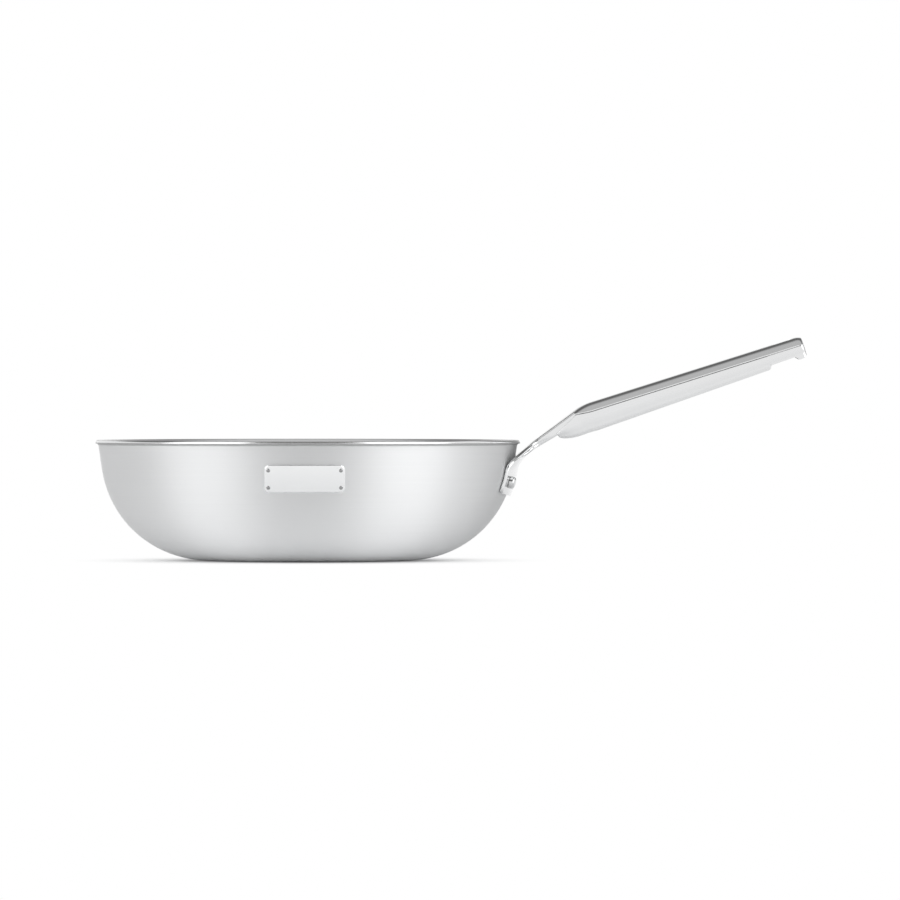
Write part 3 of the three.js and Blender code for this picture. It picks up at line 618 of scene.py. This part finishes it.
def stem_top(s, sideways):
    """The face towards the wall: bent to it at the bracket, and crowned along the stem as the grip is."""
    freed = smooth_step(s, 0, stem_start)
    crown_height = ARCH_FRONT_HEIGHT * smooth_step(s, 0, grip_start)
    crown = crown_height * arch(np.clip(sideways / GRIP_HALF_WIDTH, -1, 1))
    return (1 - freed) * wall_dish(sideways) + freed * crown


def stem_bottom(s, sideways):
    """The outer and lower face: the bracket's thickness off the wall, then flat across and thicker along
    the stem until it meets the grip's belly."""
    freed = smooth_step(s, 0, stem_start)
    root = BRACKET_THICKNESS + (STEM_THICKNESS - BRACKET_THICKNESS) * freed
    reached = portion(s, stem_start, prow_start)
    flat = root + (STEM_END_THICKNESS - root) * reached
    return (1 - freed) * wall_dish(sideways) + flat


def tongue_top(s, sideways):
    """The tongue follows the inside of the grip's top shell, one sheet and a gap below its arch."""
    return GRIP_SHEET + SEAT_GAP + arch_height(s) * arch(sideways / (GRIP_HALF_WIDTH - GRIP_SHEET))


def tongue_bottom(s, sideways):
    """The tongue's underside: level across, its thickness below the edges of its top."""
    return tongue_top(s, TONGUE_HALF_WIDTH + 0 * sideways) + TONGUE_THICKNESS


def eased_steps(start, end, count):
    """Stations from one place to another, by a half turn of a cosine closer together at both ends."""
    return start + (end - start) * (1 - np.cos(np.linspace(0, math.pi, count))) / 2


def middle_line(ring):
    """A ring's points moved across onto the handle's middle plane."""
    return np.stack([ring[:, 0], 0 * ring[:, 1], ring[:, 2]], -1)


def closed_ends(rings):
    """The rings with the first and the last drawn together on their own middle line, to close the bar."""
    return np.concatenate([middle_line(rings[0])[None], rings, middle_line(rings[-1])[None]])


def handle_stem_grid():
    """The bar's sections from the bracket's foot to the tongue's tip."""
    stem_end = grip_start - STEM_END_GAP
    above_corners = foot_run + BRACKET_CORNER_RADIUS
    on_wall = np.concatenate([
        eased_steps(foot_run, above_corners, FOOT_RINGS),
        np.linspace(above_corners, stem_end, STEM_RINGS)[1:],
    ])[:, None]
    in_grip = np.linspace(stem_end, grip_start + TONGUE_LENGTH, TONGUE_RINGS)[:, None]
    freed = smooth_step(on_wall, 0, stem_start)
    edge_round = BRACKET_EDGE_ROUND + (STEM_EDGE_ROUND - BRACKET_EDGE_ROUND) * freed
    draft = STEM_DRAFT * freed * (1 - smooth_step(on_wall, stem_start, prow_start))
    stem = bar_rings(on_wall, stem_half_width(on_wall), stem_top, stem_bottom, edge_round, draft)
    tongue_half_width = TONGUE_HALF_WIDTH + 0 * in_grip
    tongue = bar_rings(in_grip, tongue_half_width, tongue_top, tongue_bottom, BRACKET_EDGE_ROUND, 0.0)
    return closed_ends(np.concatenate([stem, tongue]))


polished_steel = drawn_steel("polished_steel", level=0.78, roughness=0.13, tilt=GRIP_RISE,
                             grain_pitch=0.0004, grain_depth=0.00001)
put_piece("handle_stem_and_bracket", [handle_stem_grid()], "handle_stem", polished_steel)


# Handle rivets: two solid steel rivets through the bracket and the wall. Outside, their domed heads have
# square shoulders, and inside the pan their tails are hammered to low domes.

RIVET_HALF_SPACING = 0.030
RIVET_HEIGHT_ABOVE_FOOT = 0.0091
RIVET_SHANK_RADIUS = 0.0024
RIVET_HEAD_RADIUS = 0.0040
RIVET_HEAD_HEIGHT = 0.0034
RIVET_HEAD_FULLNESS = 0.5
RIVET_TAIL_RADIUS = 0.0046
RIVET_TAIL_HEIGHT = 0.0012
RIVET_SKIRT = 0.0001
RIVET_HEAD_POINTS = 20
RIVET_TAIL_POINTS = 12
RIVET_SPIN_STEPS = 48

rivet_height = bracket_foot + RIVET_HEIGHT_ABOVE_FOOT
rivet_seat = SEAT_GAP + BRACKET_THICKNESS
rivet_inside = -WALL_THICKNESS - RIVET_SKIRT
rivet_profile = np.concatenate([
    dome(RIVET_TAIL_RADIUS, rivet_inside, -RIVET_TAIL_HEIGHT, RIVET_TAIL_POINTS)[::-1],
    [[RIVET_SHANK_RADIUS, rivet_inside], [RIVET_SHANK_RADIUS, rivet_seat]],
    dome(RIVET_HEAD_RADIUS, rivet_seat, RIVET_HEAD_HEIGHT, RIVET_HEAD_POINTS, RIVET_HEAD_FULLNESS),
])
rivet_steel = drawn_steel("rivet_steel", level=0.68, roughness=0.16, tilt=0.0, grain_pitch=0.0003,
                          grain_depth=0.00001)
rivet_swing = math.asin(RIVET_HALF_SPACING / wall_radius(rivet_height))
for number, side in enumerate([-1, 1], 1):
    rivet_grid = on_wall_frame(turned(rivet_profile, RIVET_SPIN_STEPS), side * rivet_swing, rivet_height)
    put_piece(f"domed_rivet_{number}", [rivet_grid], f"handle_rivet_{number}", rivet_steel)


# Grip top: a pressed steel shell with an arched back, which grows out of the stem's end and runs to the
# tail, where it turns down. A hanging slot is punched through it near the tail. Its lower edges meet the
# belly in a fine seam.

TAIL_ROUND_LENGTH = 0.002
TAIL_HALF_WIDTH = 0.0092
TAIL_DROP_LENGTH = 0.005
TAIL_DROP = 0.0012
TAIL_NOSE_LENGTH = 0.0005
TAIL_NOSE_DROP = 0.0005
BAY_LENGTH = 0.0245
SLOT_LENGTH = 0.015
SLOT_WIDTH = 0.008
SLOT_MARGIN = 0.002
EDGE_ROUND = 0.00025
HOOD_ACROSS_POINTS = 41
HOOD_BEND_ROWS = 28
HOOD_BACK_ROWS = 40
HOOD_EDGE_POINTS = 5
SLOT_ROWS = 25
SLOT_RINGS = 13
SLOT_RING_SPREAD = 1.4
TAIL_ROWS = 12
TAIL_NOSE_ROWS = 10
TAIL_END_ROWS = 10
LEAST_SINE = 1e-9

bay_start = grip_end - BAY_LENGTH
slot_middle = (bay_start + grip_end - GRIP_SHEET) / 2
slot_front = slot_middle - SLOT_LENGTH / 2 - SLOT_MARGIN
slot_back = grip_end - TAIL_DROP_LENGTH


def grip_half_width(s):
    """Half the grip's width in plan: even along it, with elliptical corners at the tail."""
    share = portion(s, grip_end - TAIL_ROUND_LENGTH, grip_end)
    return TAIL_HALF_WIDTH + (GRIP_HALF_WIDTH - TAIL_HALF_WIDTH) * np.sqrt(1 - share**2)


def hood_outside(s, share, fall):
    """The arched back at a share of its half width, plus a fall for the turned-down tail, no lower than the
    shell's lower edge."""
    drop = arch_height(s) * arch(share)
    depth = np.minimum(drop + fall, arch_height(s) + CROWN_EDGE_HEIGHT)
    return on_section(s, share * grip_half_width(s), depth)


def hood_inside(s, share, fall):
    """One sheet thickness inside the arched back, no lower than the shell's lower edge."""
    drop = GRIP_SHEET + arch_height(s) * arch(share)
    depth = np.minimum(drop + fall, arch_height(s) + CROWN_EDGE_HEIGHT)
    return on_section(s, share * (grip_half_width(s) - GRIP_SHEET), depth)


def ring_round_slot(shares):
    """(s, share) points from the slot's edge out to the four sides of the stretch of shell round it. The
    slot has straight sides and half round ends, and each point of its edge lies on the ray from its middle
    to a point of the border."""
    sides = np.linspace(slot_front, slot_back, SLOT_ROWS)
    ones = np.ones(SLOT_ROWS - 1)
    border = np.concatenate([
        np.column_stack([np.full(len(shares), slot_front), shares]),
        np.column_stack([sides[1:], ones * shares[-1]]),
        np.column_stack([np.full(len(shares), slot_back), shares[::-1]])[1:],
        np.column_stack([sides[::-1][1:], ones * shares[0]]),
    ])
    away = np.arctan2(border[:, 1] * GRIP_HALF_WIDTH, border[:, 0] - slot_middle)
    reach = (SLOT_LENGTH - SLOT_WIDTH) / 2
    radius = SLOT_WIDTH / 2
    across = np.abs(np.sin(away))
    along = np.abs(np.cos(away))
    on_end = np.sqrt(radius**2 - (reach * across) ** 2) + reach * along
    on_side = radius / np.maximum(across, LEAST_SINE)
    distance = np.where(on_side * along <= reach, on_side, on_end)
    slot = np.column_stack([slot_middle + distance * np.cos(away), distance * np.sin(away) / GRIP_HALF_WIDTH])
    out = np.linspace(0, 1, SLOT_RINGS)[:, None, None] ** SLOT_RING_SPREAD
    return slot * (1 - out) + border * out


def grip_top_grids():
    """Outer and inner sheets of the shell before, round and behind the slot, where the tail turns down, and
    strips that join the two sheets along the lower edges, the front, the tail's end and the slot."""
    shares = np.linspace(-1, 1, HOOD_ACROSS_POINTS)
    before = np.concatenate([
        np.linspace(grip_start, grip_straight, HOOD_BEND_ROWS),
        np.linspace(grip_straight, slot_front, HOOD_BACK_ROWS)[1:],
    ])
    nose = np.linspace(0, math.pi / 2, TAIL_NOSE_ROWS)[1:]
    tail_s = np.concatenate([
        np.linspace(slot_back, grip_end - TAIL_NOSE_LENGTH, TAIL_ROWS),
        grip_end - TAIL_NOSE_LENGTH * (1 - np.sin(nose)),
    ])
    tail_fall = TAIL_DROP * portion(tail_s, slot_back, grip_end) ** 2
    tail_fall[TAIL_ROWS:] += TAIL_NOSE_DROP * (1 - np.cos(nose))
    end_fall = np.linspace(TAIL_DROP + TAIL_NOSE_DROP, GRIP_CROWN_HEIGHT, TAIL_END_ROWS)[1:]
    tail_s = np.concatenate([tail_s, np.full(len(end_fall), grip_end)])
    tail_fall = np.concatenate([tail_fall, end_fall])
    inner_tail_s = np.minimum(tail_s, grip_end - GRIP_SHEET)
    slot_ring = ring_round_slot(shares)
    sheets = []
    for surface, stations in ((hood_outside, tail_s), (hood_inside, inner_tail_s)):
        before_slot = surface(before[:, None], shares, 0.0)
        round_slot = surface(slot_ring[..., 0], slot_ring[..., 1], 0.0)
        tail = surface(stations[:, None], shares, tail_fall[:, None])
        sheets.append([before_slot, round_slot, tail])
    beside = np.linspace(slot_front, slot_back, SLOT_ROWS)[1:]
    every_s = np.concatenate([before, beside, tail_s[1:]])
    every_fall = np.concatenate([0 * before, 0 * beside, tail_fall[1:]])
    every_inner_s = np.minimum(every_s, grip_end - GRIP_SHEET)
    turn = np.linspace(0, math.pi / 2, HOOD_EDGE_POINTS)[:, None]
    edge_depth = arch_height(every_s) + CROWN_EDGE_HEIGHT - EDGE_ROUND * (1 - np.sin(turn))
    edge_side = grip_half_width(every_s) - EDGE_ROUND * (1 - np.cos(turn))
    strips = []
    for side in (-1.0, 1.0):
        outer_edge = hood_outside(every_s, side, every_fall)[None]
        lower_edge = on_section(every_s, side * edge_side, edge_depth)
        inner_edge = hood_inside(every_inner_s, side, every_fall)[None]
        strips.append(np.concatenate([outer_edge, lower_edge, inner_edge]))
    (outer_front, outer_slot, outer_tail), (inner_front, inner_slot, inner_tail) = sheets
    strips.append(np.stack([outer_front[0], inner_front[0]]))
    strips.append(np.stack([outer_tail[-1], inner_tail[-1]]))
    strips.append(np.stack([outer_slot[0], inner_slot[0]]))
    return sheets[0] + sheets[1] + strips


put_piece("grip_top_shell", grip_top_grids(), "grip_top", polished_steel)


# Grip belly: a pressed steel trough under the top shell. Its rounded prow tucks in under the stem, it tapers
# to the tail, and behind its end wall the sides run on round an open bay below the hanging slot.

GRIP_FRONT_DEPTH = 0.0193
GRIP_TAIL_DEPTH = 0.0147
BELLY_CORNER_RADIUS = 0.0035
BELLY_DRAFT = 0.0012
BELLY_END_ROUND = 0.0022
TAIL_LIFT = 0.002
TAIL_LIFT_LENGTH = 0.004
NOTCH_LENGTH = 0.0165
NOTCH_SWEEP = 0.003
NOTCH_HEIGHT = 0.0026
PROW_TIP_DEPTH = 0.0085
PROW_FULLNESS = 0.72
PROW_NOSE_LENGTH = 0.012
PROW_NOSE_SHARE = 0.88
SEAM_GAP = 0.0002
MOUTH_LAP = 0.0014
SEAM_ROUND = 0.0004
SEAM_POINTS = 5
BELLY_SIDE_POINTS = 9
BELLY_CORNER_POINTS = 9
BELLY_FLOOR_POINTS = 7
PROW_ROWS = 36
PROW_ROW_SPREAD = 1.8
BELLY_BEND_ROWS = 26
BELLY_BACK_ROWS = 40
BELLY_END_ROWS = 9
END_WALL_RINGS = 6
BAY_SIDE_POINTS = 30
BAY_CORNER_POINTS = 14
BAY_END_POINTS = 10
BAY_EDGE_ROWS = 5
BAY_WALL_ROWS = 13


def belly_half_width(s):
    """As the grip, with elliptical corners at the front."""
    nose = portion(s, prow_start, prow_start + PROW_NOSE_LENGTH)
    return grip_half_width(s) * (PROW_NOSE_SHARE + (1 - PROW_NOSE_SHARE) * np.sqrt(1 - (1 - nose) ** 2))


def belly_top(s):
    """The trough's upper edge: it laps the stem's lower edge, slants up to the edge of the top shell where
    that starts, and runs on just below it."""
    slant = portion(s, prow_start, grip_start)
    lapped = STEM_END_THICKNESS - MOUTH_LAP
    return lapped + (arch_height(s) + CROWN_EDGE_HEIGHT - lapped) * slant + SEAM_GAP


def belly_depth(s):
    """The underside: a prow that sweeps down from under the stem by a power of a parabola, then a straight
    taper to the tail."""
    straight_share = np.maximum((s - grip_straight) / GRIP_LENGTH, 0)
    taper = GRIP_FRONT_DEPTH + (GRIP_TAIL_DEPTH - GRIP_FRONT_DEPTH) * straight_share
    sweep = portion(s, prow_start, grip_straight)
    return PROW_TIP_DEPTH + (taper - PROW_TIP_DEPTH) * (1 - (1 - sweep) ** 2) ** PROW_FULLNESS


def trough_rings(s, half_width, top, bottom, full, corner, edge):
    """Open U sections: over a rounded upper edge and down one side, which draws in by a parabola of the
    full depth, round the lower corner, across and up the other."""
    radius = np.minimum(corner, (bottom - top) / 2)
    over = np.linspace(0, math.pi / 2, SEAM_POINTS)[:-1]
    down = np.linspace(0, 1, BELLY_SIDE_POINTS)
    turn = np.linspace(0, math.pi / 2, BELLY_CORNER_POINTS)[1:]
    middle = np.linspace(1, 0, BELLY_FLOOR_POINTS)[1:]
    edge_y = half_width - edge * (1 - np.sin(over))
    edge_depth = top + edge * (1 - np.cos(over))
    side_depth = top + edge + (bottom - radius - top - edge) * down
    side_height = full - radius - top - edge
    side_y = half_width - BELLY_DRAFT * ((side_depth - top - edge) / side_height) ** 2
    foot = side_y[:, -1:]
    corner_y = foot - radius + radius * np.cos(turn)
    corner_depth = bottom - radius + radius * np.sin(turn)
    floor_y = (foot - radius) * middle
    floor_depth = bottom + 0 * middle
    half_y = np.concatenate([edge_y, side_y, corner_y, floor_y], 1)
    half_depth = np.concatenate([edge_depth, side_depth, corner_depth, floor_depth], 1)
    sideways = np.concatenate([half_y, -half_y[:, -2::-1]], 1)
    depth = np.concatenate([half_depth, half_depth[:, -2::-1]], 1)
    return on_section(s, sideways, depth)


def walled_end(rings):
    """The rings with the last one filled: drawn in to its own middle line in a few steps."""
    keep = np.linspace(1, 0, END_WALL_RINGS)[1:, None, None]
    fill = rings[-1] * keep + middle_line(rings[-1]) * (1 - keep)
    return np.concatenate([rings, fill])


def belly_trough_grids():
    """The closed part of the belly, from the prow to the end wall: an outer and an inner trough, joined
    along their top edges and across the prow. Round the mouth the inner one closes in on the stem, and the
    outer one's lower edge rounds up to the end wall by a quarter circle."""
    prow = prow_start + PROW_LENGTH * np.linspace(0, 1, PROW_ROWS) ** PROW_ROW_SPREAD
    end_round = bay_start - BELLY_END_ROUND * np.cos(np.linspace(0, math.pi / 2, BELLY_END_ROWS))
    s = np.concatenate([
        prow,
        np.linspace(grip_start, grip_straight, BELLY_BEND_ROWS)[1:],
        np.linspace(grip_straight, end_round[0], BELLY_BACK_ROWS)[1:],
        end_round[1:],
    ])[:, None]
    into_end = portion(s, end_round[0], bay_start)
    bottom = belly_depth(s) - BELLY_END_ROUND * (1 - np.sqrt(1 - into_end**2))
    outer = trough_rings(s, belly_half_width(s), belly_top(s), bottom, belly_depth(s),
                         BELLY_CORNER_RADIUS, SEAM_ROUND)
    inner_s = np.minimum(s, bay_start - GRIP_SHEET)
    inner_bottom = belly_depth(inner_s) - GRIP_SHEET
    mouth = STEM_END_HALF_WIDTH + SEAM_GAP
    opened = smooth_step(inner_s, grip_start, grip_straight)
    inner_half = mouth + (belly_half_width(inner_s) - GRIP_SHEET - mouth) * opened
    inner = trough_rings(inner_s, inner_half, belly_top(inner_s), inner_bottom, inner_bottom,
                         BELLY_CORNER_RADIUS - GRIP_SHEET, 0.0)
    outer = walled_end(outer)
    inner = walled_end(inner)
    return [outer, inner, np.stack([outer[:, 0], inner[:, 0]]), np.stack([outer[:, -1], inner[:, -1]]),
            np.stack([outer[0], inner[0]])]


def bay_outline(inset):
    """The bay's wall in plan, as (s, sideways) from the end wall along one side, round the tail and back:
    the sides of the grip, elliptical corners and a straight end, drawn in by an inset."""
    run = np.linspace(bay_start, grip_end - TAIL_ROUND_LENGTH, BAY_SIDE_POINTS)
    turn = np.linspace(0, math.pi / 2, BAY_CORNER_POINTS)[1:]
    corner_s = grip_end - TAIL_ROUND_LENGTH + (TAIL_ROUND_LENGTH - inset) * np.sin(turn)
    corner_y = TAIL_HALF_WIDTH - inset + (GRIP_HALF_WIDTH - TAIL_HALF_WIDTH) * np.cos(turn)
    end_y = np.linspace(TAIL_HALF_WIDTH - inset, 0, BAY_END_POINTS)[1:]
    half_s = np.concatenate([run, corner_s, np.full(len(end_y), grip_end - inset)])
    half_y = np.concatenate([np.full(len(run), GRIP_HALF_WIDTH - inset), corner_y, end_y])
    return np.concatenate([half_s, half_s[-2::-1]]), np.concatenate([half_y, -half_y[-2::-1]])


def bay_wall_grids():
    """The bay's wall: outer and inner faces from the seam down to an edge that is cut back beside the slot
    and sweeps down again to the tail, joined along both edges and at both ends. Its edges are quarter
    circles, and its sides draw in by a parabola, as the trough's do."""
    outline_s = bay_outline(0.0)[0]
    notch_end = bay_start + NOTCH_LENGTH
    notch = NOTCH_HEIGHT * (1 - smooth_step(outline_s, notch_end, notch_end + NOTCH_SWEEP))
    tail = portion(outline_s, grip_end - TAIL_LIFT_LENGTH, grip_end)
    top = belly_top(outline_s)
    full = belly_depth(outline_s)
    bottom = full - notch - TAIL_LIFT * (1 - np.sqrt(1 - tail**2))
    over = np.linspace(0, math.pi / 2, BAY_EDGE_ROWS)
    down = np.linspace(0, 1, BAY_WALL_ROWS)[1:-1]
    from_top = np.concatenate([EDGE_ROUND * (1 - np.cos(over)), 0 * down, 0 * over])[:, None]
    from_bottom = np.concatenate([0 * over, 0 * down, EDGE_ROUND * (1 - np.cos(over[::-1]))])[:, None]
    share = np.concatenate([0 * over, down, 1 + 0 * over])[:, None]
    depth = (top + from_top) * (1 - share) + (bottom - from_bottom) * share
    depth += EDGE_ROUND * (1 - 2 * share) * np.concatenate([0 * over, 1 + 0 * down, 0 * over])[:, None]
    sunk = portion(depth, top, full - BELLY_CORNER_RADIUS)
    drawn_in = 1 - BELLY_DRAFT / GRIP_HALF_WIDTH * sunk**2
    rounded = EDGE_ROUND * np.concatenate([1 - np.sin(over), 0 * down, 1 - np.sin(over[::-1])])
    plans = [bay_outline(inset) for inset in rounded]
    outer = np.stack([on_section(s, y * draw, deep) for (s, y), draw, deep in zip(plans, drawn_in, depth)])
    s, y = bay_outline(GRIP_SHEET)
    inner = on_section(s, y * drawn_in, depth)
    return [outer, inner, np.stack([outer[0], inner[0]]), np.stack([outer[-1], inner[-1]]),
            np.stack([outer[:, 0], inner[:, 0]]), np.stack([outer[:, -1], inner[:, -1]])]


put_piece("grip_belly_shell", belly_trough_grids() + bay_wall_grids(),
          "grip_belly", polished_steel)


# Studio: a white floor that fades to plain white, and a white room that metal mirrors with bright sides, a
# ceiling that is dark but paler overhead, and a dim back right corner. Two tall soft lamps stand in front, to
# the left and right, and the camera far off, barely above the rim.

FLOOR_HALF_WIDTH = 30.0
FLOOR_DROP = 0.0003
FLOOR_LEVEL = 0.72
FLOOR_ROUGHNESS = 0.9
FLOOR_FADE_START = 0.035
FLOOR_FADE_END = 0.165
MIRRORED_FADE_START = 0.16
MIRRORED_FADE_END = 0.60
ROOM_WHITE = (1.0, 1.0, 1.0, 1.0)

floor_mesh = bpy.data.meshes.new("floor")
floor_corners = FLOOR_HALF_WIDTH * np.array([[-1, -1, 0], [1, -1, 0], [1, 1, 0], [-1, 1, 0]], float)
floor_corners[:, 2] = -FLOOR_DROP
floor_mesh.from_pydata(floor_corners.tolist(), [], [[0, 1, 2, 3]])
floor = bpy.data.objects.new("floor", floor_mesh)
bpy.context.scene.collection.objects.link(floor)

floor_paint, floor_inputs, floor_wire = new_material("floor_paint")
floor_nodes = floor_paint.node_tree.nodes
floor_inputs["Metallic"].default_value = 0.0
floor_inputs["Roughness"].default_value = FLOOR_ROUGHNESS
floor_inputs["Specular IOR Level"].default_value = 0.0
floor_inputs["Base Color"].default_value = grey(FLOOR_LEVEL)
floor_place = floor_wire.node("ShaderNodeTexCoord", {}, {}, "Object")
floor_away = floor_wire.node("ShaderNodeVectorMath", {"operation": "LENGTH"}, {0: floor_place}, "Value")
floor_ray = floor_wire.node("ShaderNodeLightPath", {}, {}, "Is Camera Ray")
floor_mirror = floor_wire.node("ShaderNodeLightPath", {}, {}, "Is Glossy Ray")
floor_seen = floor_wire.eased(floor_away, FLOOR_FADE_START, FLOOR_FADE_END) * floor_ray
floor_fade = floor_seen + floor_wire.eased(floor_away, MIRRORED_FADE_START, MIRRORED_FADE_END) * floor_mirror
floor_glow = floor_wire.node("ShaderNodeEmission", {}, {"Color": ROOM_WHITE, "Strength": 1.0})
floor_shader = Wire(floor_paint.node_tree, floor_nodes["Principled BSDF"].outputs[0])
floor_mix = floor_wire.node("ShaderNodeMixShader", {}, {0: floor_fade, 1: floor_shader, 2: floor_glow})
floor_wire.feed(floor_nodes["Material Output"].inputs["Surface"], floor_mix)
floor_mesh.materials.append(floor_paint)

# The room's limits are parts of a direction of length 1 seen from the pan: up, to a side or to the back.
ROOM_DARK = (0.14, 0.14, 0.14, 1.0)
WALL_ENDS = 0.26
CEILING_STARTS = 0.56
OVERHEAD_STARTS = 0.75
OVERHEAD_FULL = 0.92
OVERHEAD_SHARE = 0.50
SIDE_STARTS = 0.25
SIDE_FULL = 0.50
SIDE_TOP_STARTS = 0.45
SIDE_TOP_FULL = 0.62
SIDE_TILT = 0.2
BACK_STARTS = 0.45
BACK_FULL = 0.65
CORNER_STARTS = 0.10
CORNER_FULL = 0.25
CORNER_SHARE = 0.75

world = bpy.data.worlds.new("white_room")
bpy.context.scene.world = world
world.use_nodes = True
room = Wire(world.node_tree)
room_direction = room.node("ShaderNodeTexCoord", {}, {}, "Generated")
room_height = room_direction.along(2)
room_right = room_direction.along(0)
room_above = room.eased(room_height - room_right * SIDE_TILT, SIDE_TOP_STARTS, SIDE_TOP_FULL)
room_side = room.eased(room.maths("ABSOLUTE", room_right), SIDE_STARTS, SIDE_FULL) * (1 - room_above)
room_mirrored = room.node("ShaderNodeLightPath", {}, {}, "Is Glossy Ray")
room_overhead = room.eased(room_height, OVERHEAD_STARTS, OVERHEAD_FULL) * OVERHEAD_SHARE
room_ceiling = (room.eased(room_height, WALL_ENDS, CEILING_STARTS) - room_overhead) * (1 - room_side)
room_back = room.eased(room_direction.along(1), BACK_STARTS, BACK_FULL)
room_corner = room_back * room.eased(room_right, CORNER_STARTS, CORNER_FULL) * CORNER_SHARE
room_dark = room.maths("MAXIMUM", room_ceiling, room_corner)
room_colour = room.blend(room_dark * room_mirrored, ROOM_WHITE, ROOM_DARK)
room.feed(world.node_tree.nodes["Background"].inputs["Color"], room_colour)

LAMP_DISTANCE = 1.4
LAMP_AZIMUTH = math.radians(58)
LAMP_HEIGHT = 1.0
LAMP_WIDTH = 1.3
LAMP_TALL = 2.0
LAMP_POWER = 11.0

for side in (-1, 1):
    lamp_data = bpy.data.lights.new(f"soft_lamp_{side}", "AREA")
    lamp_data.shape = "RECTANGLE"
    lamp_data.size = LAMP_WIDTH
    lamp_data.size_y = LAMP_TALL
    lamp_data.energy = LAMP_POWER
    lamp = bpy.data.objects.new(lamp_data.name, lamp_data)
    lamp_sideways = side * LAMP_DISTANCE * math.sin(LAMP_AZIMUTH)
    lamp.location = (lamp_sideways, -LAMP_DISTANCE * math.cos(LAMP_AZIMUTH), LAMP_HEIGHT)
    lamp.rotation_euler = (math.pi / 2, 0, side * LAMP_AZIMUTH)
    lamp.visible_camera = False
    bpy.context.scene.collection.objects.link(lamp)

CAMERA_DISTANCE = 6.0
CAMERA_SIDE = 0.0938
CAMERA_HEIGHT = 0.1130
CAMERA_REACH = 100.0
AIM_HEIGHT = 0.0726
LENS_MILLIMETRES = 363.75
SENSOR_MILLIMETRES = 36.0

camera_data = bpy.data.cameras.new("camera")
camera_data.lens = LENS_MILLIMETRES
camera_data.sensor_width = SENSOR_MILLIMETRES
camera_data.clip_end = CAMERA_REACH
camera = bpy.data.objects.new("camera", camera_data)
camera.location = (CAMERA_SIDE, -CAMERA_DISTANCE, CAMERA_HEIGHT)
camera.rotation_euler = (math.pi / 2 - math.atan2(CAMERA_HEIGHT - AIM_HEIGHT, CAMERA_DISTANCE), 0, 0)
bpy.context.scene.collection.objects.link(camera)
bpy.context.scene.camera = camera
bpy.context.scene.view_settings.view_transform = "Standard"
